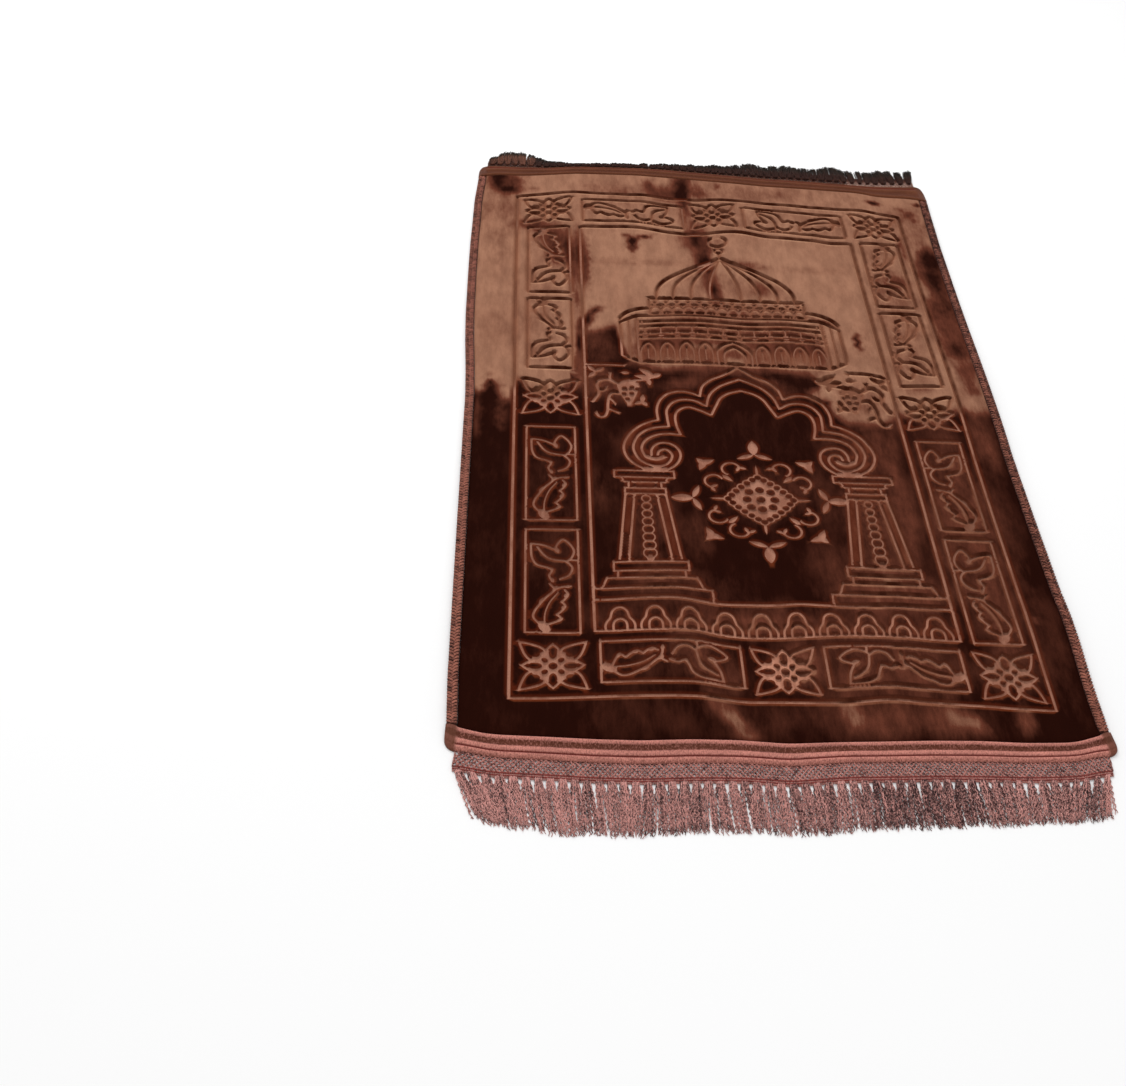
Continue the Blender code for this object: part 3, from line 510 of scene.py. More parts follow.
DOME = {"foot": 234 * MM, "half": 99 * MM, "apex": 340 * MM, "ribs": (1.0, 0.76, 0.50, 0.22)}
FINIAL = {"ball": 358 * MM, "moon": 382 * MM}
DRUM = {"foot": 193 * MM, "rail": 214 * MM, "head": 229 * MM, "half": 110 * MM, "posts": 14}
HALL = {"foot": 80 * MM, "head": 187 * MM, "half": 130 * MM, "arches": 10, "windows": 12,
        "lines": (136 * MM, 147 * MM, 162 * MM, 173 * MM)}
WING = {"half": 153 * MM, "drop": 15 * MM}
DOOR = {"half": 23 * MM, "height": 50 * MM}
GROUND_Y = 72 * MM


def pointed_arch(x, half, height, line):
    foot, made = HALL["foot"], []
    for side in (1, -1):
        made.append(curve([(x + side * half, foot), (x + side * half, foot + 0.55 * height),
                           (x + 0.6 * side * half, foot + 0.84 * height), (x, foot + height)], line, 1))
    return made


def domed_hall():
    """A plain domed prayer hall seen from the front."""
    made = []
    foot, apex = DOME["foot"], DOME["apex"]
    for share in DOME["ribs"]:
        w, outline = share * DOME["half"], share == 1.0
        rib = bezier((w, foot), (1.02 * w, foot + 52 * MM), (0.42 * w, apex - 34 * MM), (0, apex),
                     LINE if outline else FINE)
        keep = len(rib["points"]) - (0 if outline else 3)
        made += both_sides([stroke(rib["points"][:keep], halves=rib["halves"][:keep])])
    rim = arc((0, foot), DOME["half"] + 10 * MM, 183, 357)
    made.append(stroke([(x, foot + 0.045 * (y - foot)) for x, y in rim["points"]]))
    made.append(straight([(0, apex), (0, apex + 12 * MM)], FINE))
    made.append(arc((0, FINIAL["ball"]), 6 * MM, 0, 360))
    made.append(arc((0, FINIAL["moon"]), 13 * MM, 125, 415, LINE))

    w, foot, rail = DRUM["half"], DRUM["foot"], DRUM["rail"]
    made.append(rectangle(-w, foot, w, DRUM["head"], FINE))
    made.append(straight([(-w, rail), (w, rail)], HAIR))
    pitch = 2 * w / DRUM["posts"]
    for k in range(DRUM["posts"]):
        x = pitch * (k + 0.5) - w
        made.append(arc((x, foot + 9 * MM), 7.5 * MM, 0, 180, HAIR, squeeze=0.85))
        if k:
            made.append(straight([(pitch * k - w, foot), (pitch * k - w, rail)], HAIR))
        made.append(petal((x, rail + 3.5 * MM), 90, 9 * MM, 5.5 * MM))

    w, foot, head, lines = HALL["half"], HALL["foot"], HALL["head"], HALL["lines"]
    made.append(rectangle(-w, foot, w, head))
    made += [straight([(-w, y), (w, y)], FINE) for y in lines]
    pitch = 2 * w / HALL["windows"]
    for k in range(HALL["windows"]):
        x = pitch * (k + 0.5) - w
        made.append(straight([(x, lines[1]), (x, lines[2])], HAIR))
        made.append(petal((x - 4.5 * MM, lines[0] + 5.5 * MM), 0, 9 * MM, 4 * MM))
    pitch = 2 * w / HALL["arches"]
    for k in range(HALL["arches"]):
        x = pitch * (k + 0.5) - w
        if abs(x) > DOOR["half"] + pitch / 2:
            made += pointed_arch(x, 0.36 * pitch, 46 * MM, HAIR)
            made.append(straight([(x, foot + 10 * MM), (x, foot + 34 * MM)], HAIR))
    made += pointed_arch(0, DOOR["half"], DOOR["height"], FINE)
    made += pointed_arch(0, 0.62 * DOOR["half"], 0.78 * DOOR["height"], FINE)
    wing, drop, post = WING["half"], WING["drop"], (w + WING["half"]) / 2
    return made + both_sides([
        straight([(w, head), (wing, head - drop), (wing, foot + drop), (w, foot)]),
        straight([(post, head - drop / 2), (post, foot + drop / 2)], HAIR),
        bezier((DRUM["half"], 206 * MM), (126 * MM, 206 * MM), (146 * MM, 198 * MM), (wing, head - drop / 2)),
        straight([(wing, GROUND_Y), (FRAME_INNER[0], GROUND_Y)], FINE),
    ])

# How the cloth lies moves the pattern from its drawing: sideways by where across the rug, and along the rug
# by rows, each from its left end to its right
ACROSS_SHIFT = ((-292, 4), (-204, 9), (0, 10), (204, 8.5), (292, 5))
ALONG_SHIFT = {
    -504: (
        (-290, -2), (-260, -1), (-180, 2), (-120, 5), (-90, 6), (-50, -1), (0, 0), (60, -1), (110, 5),
        (160, 3), (220, 0), (280, -6)),
    -407: (
        (-290, -3), (-190, -4), (-160, -2), (-130, 1), (-110, 4), (-90, 3), (-60, -4), (-40, -7), (0, -6),
        (40, -4), (80, -3), (120, -2), (150, -1), (190, -4), (290, -5)),
    -355: (
        (-290, -7), (-190, -7), (-150, -2), (-120, 1), (-100, 0), (-75, -6), (-55, -9), (0, -8), (30, -5),
        (80, -9), (140, -6), (210, -9), (290, -7)),
    -310: ((-290, -8), (-190, -4), (-120, 1), (0, 0), (120, -3), (210, -6), (290, -8)),
    -232: ((-290, -8), (-204, -6), (-170, 0), (0, 0), (170, 0), (204, -7), (290, -9)),
    -59: ((-290, 0), (-204, 0), (0, 0), (180, -2), (210, -9), (290, -11)),
    0: ((-290, 3), (-204, 2), (0, 0), (180, -3), (210, -13), (290, -15)),
    59: ((-290, 3), (-204, 2), (0, 0), (180, -5), (210, -16), (290, -18)),
    232: ((-290, -5), (-204, -4), (0, 0), (180, -5), (210, -14), (290, -16)),
    340: ((-290, -5), (-204, -2), (0, -2), (110, -4), (210, -15), (290, -18)),
    407: (
        (-290, -6), (-200, -1), (-170, -3), (-140, 2), (-110, 4), (-90, 1), (-70, -5), (-40, -9), (10, -2),
        (30, -2), (50, -8), (70, -15), (110, -14), (150, -13), (170, -21), (190, -22), (290, -22)),
    504: (
        (-290, -13), (-260, -6), (-240, -1), (-215, 3), (-170, -1), (-120, 1), (-105, 4), (-85, 0),
        (-60, -6), (-20, -7), (10, -5), (40, -8), (60, -12), (80, -15), (140, -14), (170, -18), (200, -22),
        (240, -24), (265, -31), (290, -36)),
}


def wandered(point):
    """Where a point of the drawing comes on the cloth."""
    x, y = point[0] / MM, point[1] / MM
    lift = np.interp(y, list(ALONG_SHIFT), [between(row, x) for row in ALONG_SHIFT.values()])
    return (point[0] + float(between(ACROSS_SHIFT, x)) * MM, point[1] + float(lift) * MM)


def pressed_pattern():
    strokes = (border() + lotus_band() + both_sides(placed(column(), (COLUMN_X, 0))) + both_sides(arch_half())
               + medallion() + both_sides(vine()) + domed_hall())
    for s in strokes:
        s["points"] = [wandered(p) for p in s["points"]]
    return strokes


# ---------------------------------------------------------------- the pressed field and the pile's mesh

CELL = 0.5 * MM  # of the grid on which the pressing is worked out
FIELD_MARGIN = 4 * MM
SHOULDER_REACH = 3.4 * MM  # how far beside a pressed line the pile still leans into it
# The painted wall shade and highlight: how far sideways and how far along the rug the pressed field is
# compared, as the brushed pile leans and hides a wall
WALL_LIGHT_SHIFT = (0.6 * MM, 1.9 * MM)  # the way the brushed pile leans, and how far it hides a wall
NEAREST = 0.95 * MM  # between two points of the pile's mesh
PILE_GRID, UNDER_GRID, EDGE_STEP = 8 * MM, 15 * MM, 5 * MM
PILE_INSET, UNDER_INSET = 1.1 * MM, 3 * MM  # how clear of the rim such points keep
CLEAR = 3.2 * MM  # how near the grid's points may come to the pattern's
ROLL, UNEVEN_FROM = 5 * MM, 8 * MM  # how far in the edge rolls down, and where the face is fully uneven


def oval(x, y, halves, degrees):
    """How far out each place lies from the middle of a turned oval, 1 on its rim."""
    cos, sin = math.cos(math.radians(degrees)), math.sin(math.radians(degrees))
    return np.hypot((x * cos + y * sin) / halves[0], (y * cos - x * sin) / halves[1])


class PressField:
    """How far the pile is pressed, from 0 at its face to 1 on a pressed floor, over the whole cloth."""

    def __init__(self, strokes):
        self.half_x, self.half_y = EDGE_X + FIELD_MARGIN, EDGE_Y + FIELD_MARGIN
        shape = (round(2 * self.half_y / CELL) + 1, round(2 * self.half_x / CELL) + 1)
        self.pressed = np.zeros(shape, np.float32)
        for s in strokes:
            if "island" not in s:
                for run in zip(s["points"], s["points"][1:], s["halves"], s["halves"][1:]):
                    self.press(*run)
        for s in strokes:
            if "island" in s:
                self.spare(s["points"][0], s["halves"], s["turn"])
        self.shoulder = self.blurred(self.pressed, round(SHOULDER_REACH / CELL / 1.8))
        self.soft = self.blurred(self.pressed, 2)

    def window(self, low, high):
        """The part of the grid between two corners, with its cells' x and y."""
        rows = [max(0, int((low[1] + self.half_y) / CELL)), int((high[1] + self.half_y) / CELL) + 2]
        cols = [max(0, int((low[0] + self.half_x) / CELL)), int((high[0] + self.half_x) / CELL) + 2]
        part = (slice(*rows), slice(*cols))
        shape = self.pressed[part].shape
        y = (rows[0] + np.arange(shape[0]))[:, None] * CELL - self.half_y
        x = (cols[0] + np.arange(shape[1]))[None, :] * CELL - self.half_x
        return part, x, y

    def press(self, a, b, half_a, half_b):
        reach = max(half_a, half_b) + WALL
        part, x, y = self.window(np.minimum(a, b) - reach, np.maximum(a, b) + reach)
        run_x, run_y = b[0] - a[0], b[1] - a[1]
        t = np.clip(((x - a[0]) * run_x + (y - a[1]) * run_y) / max(run_x**2 + run_y**2, 1e-12), 0, 1)
        away = np.hypot(a[0] + run_x * t - x, a[1] + run_y * t - y)
        half = half_a + (half_b - half_a) * t
        deep = np.minimum(1, half / HAIR) * smooth(half + WALL / 2, half - WALL / 2, away)
        self.pressed[part] = np.maximum(self.pressed[part], deep)

    def spare(self, centre, halves, degrees):
        reach = max(halves) + WALL
        part, x, y = self.window(np.subtract(centre, reach), np.add(centre, reach))
        inside = (1 - oval(x - centre[0], y - centre[1], halves, degrees)) * min(halves)
        self.pressed[part] *= 1 - smooth(-WALL / 2, WALL / 2, inside)

    @staticmethod
    def blurred(field, reach):
        for axis in (0, 1) * 3:
            count, total = field.shape[axis], np.cumsum(field, axis, np.float64)
            padded = np.concatenate([np.zeros_like(field.take([0], axis)), total], axis)
            high = np.minimum(np.arange(count) + reach + 1, count)
            low = np.maximum(np.arange(count) - reach, 0)
            field = (padded.take(high, axis) - padded.take(low, axis)) / (2 * reach + 1)
        return field

    def at(self, field, points):
        """The field's value at each point, between its cells."""
        col = np.clip((points[:, 0] + self.half_x) / CELL, 0, field.shape[1] - 1.001)
        row = np.clip((points[:, 1] + self.half_y) / CELL, 0, field.shape[0] - 1.001)
        c, r = col.astype(int), row.astype(int)
        u, v = col - c, row - r
        top = field[r, c] * (1 - u) + field[r, c + 1] * u
        bottom = field[r + 1, c] * (1 - u) + field[r + 1, c + 1] * u
        return top * (1 - v) + bottom * v


def stroke_rows(s, offsets):
    """Points in rows beside a stroke, each row a distance from the edge of what it presses."""
    pts, halves = np.array(s["points"]), np.array(s["halves"])
    along = np.diff(pts, axis=0)
    along /= np.maximum(np.linalg.norm(along, axis=1, keepdims=True), 1e-9)
    closed = np.linalg.norm(pts[0] - pts[-1]) < 0.1 * MM
    before = np.vstack([along[-1:] if closed else along[:1], along])
    after = np.vstack([along, along[:1] if closed else along[-1:]])
    square = np.stack([-(before + after)[:, 1], (before + after)[:, 0]], 1)
    square /= np.maximum(1 + (before * after).sum(1, keepdims=True), 0.6)  # longer at a corner, as a mitre is
    reach = [np.maximum(0, halves + offset)[:, None] for offset in offsets]
    return [pts + side * square * r for r in reach for side in (1, -1)]


def island_rows(s, offsets):
    """Points round an island, each ring a distance from its rim."""
    x, y = s["points"][0]
    cos, sin = math.cos(math.radians(s["turn"])), math.sin(math.radians(s["turn"]))
    made = []
    for offset in offsets:
        reach = [max(0.3 * MM, h + offset) for h in s["halves"]]
        count = max(6, round(2 * math.pi * sum(reach) / 2 / TURN_STEP))
        turn = 2 * math.pi * np.arange(count) / count
        u, v = reach[0] * np.cos(turn), reach[1] * np.sin(turn)
        made.append(np.stack([x + u * cos - v * sin, y + u * sin + v * cos], 1))
    return made


def within(p, inset):
    """Which points lie on the pile cloth, clear of its rim."""
    return (np.abs(p[:, 0]) < EDGE_X - inset) & (np.abs(p[:, 1]) < tape_inner(p[:, 0]) - inset)


def grid(pitch, stagger, inset):
    """Even points over the pile cloth, each row moved aside by the stagger, one way and the other."""
    nx, ny = int(2 * EDGE_X / pitch), int(2 * EDGE_Y / pitch)
    p = np.array([((i - nx / 2 + stagger * (j % 2 * 2 - 1)) * pitch, (j - ny / 2) * pitch)
                  for i in range(nx + 1) for j in range(ny + 1)])
    return p[within(p, inset)]


def around(x, y, cell):
    """The square cell that holds a place, and the eight round it."""
    col, row = int(x // cell), int(y // cell)
    return [(col + dc, row + dr) for dc in (-1, 0, 1) for dr in (-1, 0, 1)]


def thinned(groups, nearest, earlier=()):
    """The groups' points in turn, leaving out any that lies off the cloth or too near one already kept."""
    kept, cells = [], {}
    for x, y in earlier:
        cells.setdefault((int(x // nearest), int(y // nearest)), []).append((x, y))
    for group in groups:
        for x, y in group[within(group, PILE_INSET)].tolist():
            near = (p for cell in around(x, y, nearest) for p in cells.get(cell, ()))
            if all((x - px) ** 2 + (y - py) ** 2 >= nearest * nearest for px, py in near):
                cells.setdefault((int(x // nearest), int(y // nearest)), []).append((x, y))
                kept.append((x, y))
    return kept


def clear_of(points, others, distance):
    """Those of the points that lie clear of all the others."""
    taken = {(int(x // distance), int(y // distance)) for x, y in others}
    return [p for p in points.tolist() if taken.isdisjoint(around(*p, distance))]


def pile_outline():
    """Round the pile cloth: straight sides, and ends that follow the tapes' inner edges."""
    side_x = EDGE_X - GAP
    count = round(2 * side_x / EDGE_STEP)
    even = np.linspace(-1, 1, count + 1)
    x = side_x * np.sin(even * math.pi / 2) * 0.3 + np.linspace(-side_x, side_x, count + 1) * 0.7
    top = np.stack([x, tape_inner(x) - GAP], 1)
    side_y = top[-1][1]
    count = round(2 * side_y / EDGE_STEP)
    side = np.stack([np.full(count - 1, side_x), np.linspace(side_y, -side_y, count + 1)[1:-1]], 1)
    half = np.vstack([top, side])
    return np.vstack([half, -half])


def triangles(outline, points):
    """Triangles inside the outline; also where each of the outline's points went."""
    everything = [Vector(p) for p in [*outline.tolist(), *points]]
    flat, _, faces, came_from, _, _ = delaunay_2d_cdt(everything, [], [list(range(len(outline)))], 1, 1e-6)
    where = {old: new for new, olds in enumerate(came_from) for old in olds}
    return np.array([tuple(p) for p in flat]), faces, [where[i] for i in range(len(outline))]


def pile_points(strokes):
    """Where the face of the pile needs a point."""
    floors, rims, shoulders, middles = [], [], [], []
    for s in strokes:
        if "island" in s:
            floors += island_rows(s, (WALL / 2,))
            rims += island_rows(s, (-WALL / 2,))
        else:
            floors += stroke_rows(s, (-WALL / 2,))
            rims += stroke_rows(s, (WALL / 2,))
            shoulders += stroke_rows(s, (WALL / 2 + 2.0 * MM, WALL / 2 + 4.8 * MM))
            middles.append(np.array(s["points"]))
    insets = (1.0 * MM, 2.6 * MM, ROLL)
    rolled = [pile_outline() * (1 - inset / EDGE_X, 1 - inset / EDGE_Y) for inset in insets]
    kept = thinned(rolled + floors + rims + middles, NEAREST)
    return kept + thinned(shoulders, 2.3 * NEAREST, kept)


# ---------------------------------------------------------------- the brushed nap's painted sheen, in centimetres on the rug

# The nap's painted sheen is light above this line and dark below it
NAP_EDGE = (
    (-35, 2), (-32.8, 0.5), (-31.8, 4), (-30.9, 0.5), (-29.6, -1), (-28.4, 4), (-27, 1.5), (-24.5, -0.5),
    (-21.5, 3), (-20.4, 13.5), (-19.3, 14.6), (-17, 15.4), (-15.2, 16.2), (-14.3, 12), (-13.4, 8),
    (-11, 6.5), (2, 6.5), (6, 6.8), (9.6, 6.5), (11.4, 5.6), (12.2, 2), (12.8, -2), (14.5, -3.7),
    (18.5, -4), (21.5, -1.5), (25, -2.5), (28, -1), (30, -0.5), (35, -1),
)
NAP_EDGE_SOFT = 1.5
# the tone where the nap's painted sheen is light
LIGHT_FIELD = 0.94  # the tone of nap brushed light
UNDER_TONE = 0.45  # the tone of the cloth's underside
# Patches where the nap's painted sheen is lighter or darker: each one's middle, its half size across and
# along, how much lighter or darker it is, and its lean in degrees if it has one
PAINTED_SHEEN_PATCHES = (
    # the far end
    (-30.6, 53.2, 3.8, 4.2, -0.66), (-29.8, 50.9, 2.4, 1.2, -0.34), (-32.2, 53.6, 1, 2.8, -0.3, 6),
    (-31.9, 55, 2, 1, -0.3), (-27.7, 54.8, 1.5, 0.5, -0.25, 40), (-29, 52.8, 0.6, 1.5, 0.16),
    (-26, 51.8, 2, 0.5, -0.2, 14), (-26.8, 41.2, 3, 2, -0.45), (-22.8, 36.5, 3.2, 6.8, -0.56, 14),
    (-19.4, 32.5, 1.2, 9.5, -0.78, 2), (-21, 31, 0.8, 9.5, -0.56, 3), (-23.2, 32.6, 1.2, 3.2, -0.34, 10),
    (-11.8, 36.9, 0.9, 2.5, -1.2, 2), (-10.3, 38.6, 2.4, 0.6, -0.9, 24), (-12.5, 38.5, 1, 0.5, -0.8, -44),
    (-11.8, 33.6, 0.5, 2.6, -0.24), (-3, 52.3, 1.5, 5.6, -0.85, -4), (-6.6, 51.4, 3.8, 2.2, -0.52, -30),
    (-8.6, 53.6, 1, 1.6, -0.22, 20), (-4.4, 52.4, 1.2, 4.6, -0.3), (-0.6, 52.4, 1, 3, -0.3),
    (0.5, 51.2, 2.4, 1.6, -0.2), (2.6, 53.9, 0.45, 1.2, -0.36, -20), (-15, 51.6, 6.5, 1.8, -0.15),
    (-15, 46, 7, 8, -0.1), (-3, 44.5, 1.6, 6, -0.34), (-1.4, 41, 2.2, 3, -0.38), (-3.3, 38.4, 2, 2.8, -0.5),
    (-1.5, 35.4, 1.9, 6.4, -0.72), (-1, 31.8, 1.5, 2.4, -0.5), (-0.8, 27.8, 1.3, 4.4, -0.5),
    (1.2, 37, 1, 3.5, -0.22), (5.2, 32, 3.2, 1.1, -0.42, -14), (-3.6, 29.4, 2, 3, -0.15, -40),
    (-11, 31.9, 10, 1, -0.14), (13.5, 31.2, 7, 1, -0.12), (12, 48, 26, 11, -0.12),
    (26.7, 51.9, 1.3, 1.7, -0.9), (30.4, 49.8, 0.8, 1.5, -0.22, 10), (31.5, 47.7, 1.3, 1.3, -0.32, -20),
    (32.4, 46, 0.6, 0.9, -0.25), (33.1, 52.6, 0.7, 1.5, -0.75), (31.2, 44, 4.5, 9, -0.2),
    (0, 53.4, 32, 4, -0.07), (32.8, 35.8, 1.9, 3.4, -0.62), (29.1, 36.5, 1.1, 5, -0.45),
    # the dome, the hall and beside them
    (-0.4, 24.4, 1.3, 3, -0.45), (0.8, 26.4, 9.5, 4.5, -0.16), (6.6, 25.6, 1.8, 3, -0.28, 24),
    (9, 25, 1.2, 2.6, -0.26, 20), (0.5, 20.5, 15, 3, -0.2), (0, 12.5, 18, 9, -0.45),
    (-8, 13.5, 4, 3, -0.14), (9.5, 13, 4.5, 4, -0.14), (12.4, 11, 1.6, 4.5, -0.28),
    (-11.5, 9.5, 2, 4.5, -0.24), (-1.5, 11.6, 5, 0.8, 0.18), (0.8, 8.6, 1.8, 1.2, 0.34),
    (-17.2, 10.6, 3.2, 4.8, 0.27), (-20.3, 6.5, 1, 4.6, 0.5), (-18.8, 11.5, 1.6, 3, 0.14),
    (-20.2, 19, 0.9, 8, -0.42), (-18.9, 17.4, 1.1, 3.4, -0.92, -22), (-17.4, 19.9, 1.4, 0.8, -0.6, 20),
    (18.4, 13.9, 0.6, 2.4, -1.1, -4), (19, 15, 2, 5, -0.1), (14.5, 18.4, 2.6, 0.9, -0.4, -24),
    # the left side
    (-31.3, 43, 3.4, 16, -0.22), (-31.3, 16, 3.4, 14, -0.07), (-32.9, 2.6, 0.8, 2.6, 0.34),
    (-30.8, 2, 0.7, 2.2, -0.32), (-25, 26, 4, 24, -0.1), (-26, 13, 3.5, 9, -0.1), (-18, 3.4, 3.5, 4, 0.26),
    (-14, 1.6, 3.4, 3.2, 0.22), (-5, 4.4, 6, 1.8, 0.28, 20), (3, 5, 4, 1.6, 0.34, -20),
    (6.4, 2.6, 2.4, 3.6, 0.22, 20), (11.6, 2, 2.2, 1.8, 0.62, 10), (-18.2, -17.5, 1.8, 5, 0.16),
    (-33.2, -4, 0.6, 5, 0.22), (-30.3, -3.5, 0.8, 4.5, 0.26), (-24, -24, 4.5, 20, 0.07),
    # the columns and the field between
    (-12.6, -24, 4.2, 13, 0.16), (-12.4, -9, 4.8, 5, 0.11), (14.6, -24, 4.6, 14, 0.26),
    (14.2, -9, 4.8, 6, 0.18), (1, -18.5, 5.5, 5.5, 0.2), (7.5, -18, 4.5, 7, 0.12), (-6.8, -25, 2.2, 5, 0.2),
    (8, -29, 2.6, 4, 0.18), (-10.5, -34, 8, 3.4, 0.2), (14, -34, 8.4, 4.4, 0.34), (1, -38.8, 23, 3.6, 0.22),
    (0, -39.6, 22, 1.6, 0.1),
    # the right side
    (16.5, 0, 5.5, 6.5, -0.2), (17.6, -5.5, 3.4, 5, 0.18), (20.2, -3.4, 1.6, 2.4, 0.26),
    (18.6, -18, 2.2, 14, 0.26), (19, -36, 3, 5, 0.12), (25.4, 24, 4, 21, -0.26),
    (26.8, 28.8, 2.4, 2.4, -0.3), (24, 8, 4.5, 5, -0.16), (25.4, -2, 2.4, 2.8, 0.3),
    (25.6, -25, 5.4, 23, 0.34), (26.8, -12, 1.6, 8, 0.15), (23.4, -40, 2.4, 6, -0.1),
    (32.2, 31.6, 2.8, 6.2, -0.74), (31, 27.4, 1.4, 3.6, 0.36), (32.2, 19, 3.2, 14, -0.68),
    (32.2, 12.2, 1.5, 2.2, -0.22), (32.5, 6.6, 1.8, 3.4, -0.46), (32.2, 3.4, 1.8, 1.4, -0.3),
    (25.2, 3.4, 2.6, 0.9, -0.34), (31.4, 1.6, 3, 3.2, -0.1), (32, -1.5, 1.6, 2, 0.2),
    (31.6, -7, 2.2, 7.5, 0.3), (31.2, -22, 1.8, 12, 0.1), (31.4, -42, 2.4, 14, 0.1),
    (30.8, -37.8, 0.7, 0.6, 0.3),
    # the near end
    (12.5, -45.8, 10, 6.4, 0.38), (-11, -45.2, 9, 5, 0.1), (-8.8, -44.5, 2.4, 4, 0.32, 14),
    (-5, -47.5, 1.6, 3, 0.2), (-6.3, -51.4, 1.5, 3.8, 0.48, 30), (-4.6, -53.8, 1.3, 2.8, 0.4, 34),
    (-4.6, -54.9, 2, 1, 0.34), (-12, -52.6, 14, 4, 0.07), (10, -53, 15, 3.6, 0.18),
    (11.5, -53.2, 5, 2.8, 0.16), (1.8, -54, 1.6, 1.6, -0.1), (7.2, -52.2, 1.5, 2.6, 0.36, 20),
    (17.8, -53.2, 3.8, 3.2, 0.42), (18.6, -52, 1.9, 2.8, 0.26, 34), (20.8, -53.4, 0.8, 2.3, 0.3, 28),
    (25.9, -52.4, 1.3, 2.8, 0.5), (25.6, -45.6, 3.6, 4.2, 0.24), (-24, -45.6, 3.2, 3.4, 0.12),
    (2, -45.4, 3.6, 3.8, 0.36),
)
# Where the pressed lines catch more or less of the light
LINE_PATCHES = (
    (1.6, -45.6, 3.8, 3.8, 0.8), (1, -39, 24, 3, 0.4), (1, -18.5, 7.5, 7.5, 0.06),
    (-24.4, -22, 5, 22, -0.22), (26, -22, 5, 22, -0.18), (0, 14, 17, 9, 0.14),
)


def patched(points, patches):
    """What the patches add up to at each point."""
    x, y = points[:, 0] / CM, points[:, 1] / CM
    added = np.zeros(len(points))
    for at_x, at_y, across, along, change, *lean in patches:
        away = oval(x - at_x, y - at_y, (across, along), lean[0] if lean else 0)
        added = added + change * smooth(1.2, 0.25, away)
    return added


def painted_nap_sheen(points):
    """The nap's painted sheen: from 0 where it is painted dark to 1 where it is painted light."""
    edge = np.interp(points[:, 0] / CM, *zip(*NAP_EDGE))
    tone = LIGHT_FIELD * smooth(-NAP_EDGE_SOFT, NAP_EDGE_SOFT, points[:, 1] / CM - edge)
    return np.clip(tone + patched(points, PAINTED_SHEEN_PATCHES), 0, 1)


# ---------------------------------------------------------------- making meshes


def made_piece(name, node, points, faces, material, attributes):
    """A piece of the rug that stands for one of its solids, moved from the rug's own plane to its place."""
    settled_points = settled(np.array(points, float))
    settled_points[:, 1] += MIDDLE_Y
    mesh = bpy.data.meshes.new(name)
    mesh.from_pydata(settled_points.tolist(), [], faces)
    for key, values in attributes.items():
        layer = mesh.attributes.new(key, "FLOAT", "POINT")
        layer.data.foreach_set("value", np.asarray(values, np.float32))
    mesh.polygons.foreach_set("use_smooth", [True] * len(mesh.polygons))
    mesh.materials.append(material)
    mesh.update()
    piece = bpy.data.objects.new(name, mesh)
    bpy.context.scene.collection.objects.link(piece)
    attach(piece, "root")
    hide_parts(node)


def yarn_piece(name, node, material, *parts):
    """A piece from several (points, faces, shade, share), made into one."""
    points, faces, shades, shares = zip(*parts)
    first, moved = 0, []
    for p, part_faces in zip(points, faces):
        moved += [[i + first for i in face] for face in part_faces]
        first += len(p)
    attributes = {"shade": np.concatenate(shades), "share": np.concatenate(shares)}
    made_piece(name, node, np.vstack(points), moved, material, attributes)


def tubes(paths, radii, sides, shades):
    """Closed tubes along like paths: points, faces, and each point's shade and place along its tube.

    paths is strands by points by 3, radii one radius or strands by points, and shades one value a strand."""
    paths = np.asarray(paths, float)
    radii = np.broadcast_to(radii, paths.shape[:2])
    strands, count, _ = paths.shape
    along = np.gradient(paths, axis=1)
    along /= np.maximum(np.linalg.norm(along, axis=2, keepdims=True), 1e-12)
    across = np.cross(along, np.array([0.0, 0.0, 1.0]))
    across /= np.maximum(np.linalg.norm(across, axis=2, keepdims=True), 1e-9)
    upward = np.cross(across, along)
    turn = 2 * math.pi * (np.arange(sides) + 0.5) / sides - math.pi / 2
    ring = (across[:, :, None, :] * np.cos(turn)[None, None, :, None]
            + upward[:, :, None, :] * np.sin(turn)[None, None, :, None])
    points = (paths[:, :, None, :] + ring * radii[:, :, None, None]).reshape(-1, 3)
    first = (np.arange(strands) * count * sides)[:, None, None]
    row = first + (np.arange(count - 1) * sides)[None, :, None]
    at, nxt = row + np.arange(sides), row + (np.arange(sides) + 1) % sides
    quads = np.stack([at, nxt, nxt + sides, at + sides], -1).reshape(-1, 4)
    starts = (first[:, 0] + np.arange(sides)[::-1]).tolist()
    ends = (first[:, 0] + (count - 1) * sides + np.arange(sides)).tolist()
    shade = np.repeat(shades, count * sides)
    share = np.tile(np.repeat(np.linspace(0, 1, count), sides), strands)
    return points, quads.tolist() + starts + ends, shade, share


def lofted(sections):
    """A closed body through like rings of points, stations by ring by 3."""
    stations, ring, _ = sections.shape
    row = (np.arange(stations - 1) * ring)[:, None]
    at, nxt = row + np.arange(ring), row + (np.arange(ring) + 1) % ring
    quads = np.stack([at, nxt, nxt + ring, at + ring], -1).reshape(-1, 4).tolist()
    last = (stations - 1) * ring
    return sections.reshape(-1, 3), quads + [list(range(ring))[::-1], list(range(last, last + ring))]


# ---------------------------------------------------------------- materials


def colour(*card):
    """A colour as a dyer's card gives it, made linear."""
    shares = [v / 255 for v in card]
    return tuple(v / 12.92 if v <= 0.04045 else ((v + 0.055) / 1.055) ** 2.4 for v in shares)


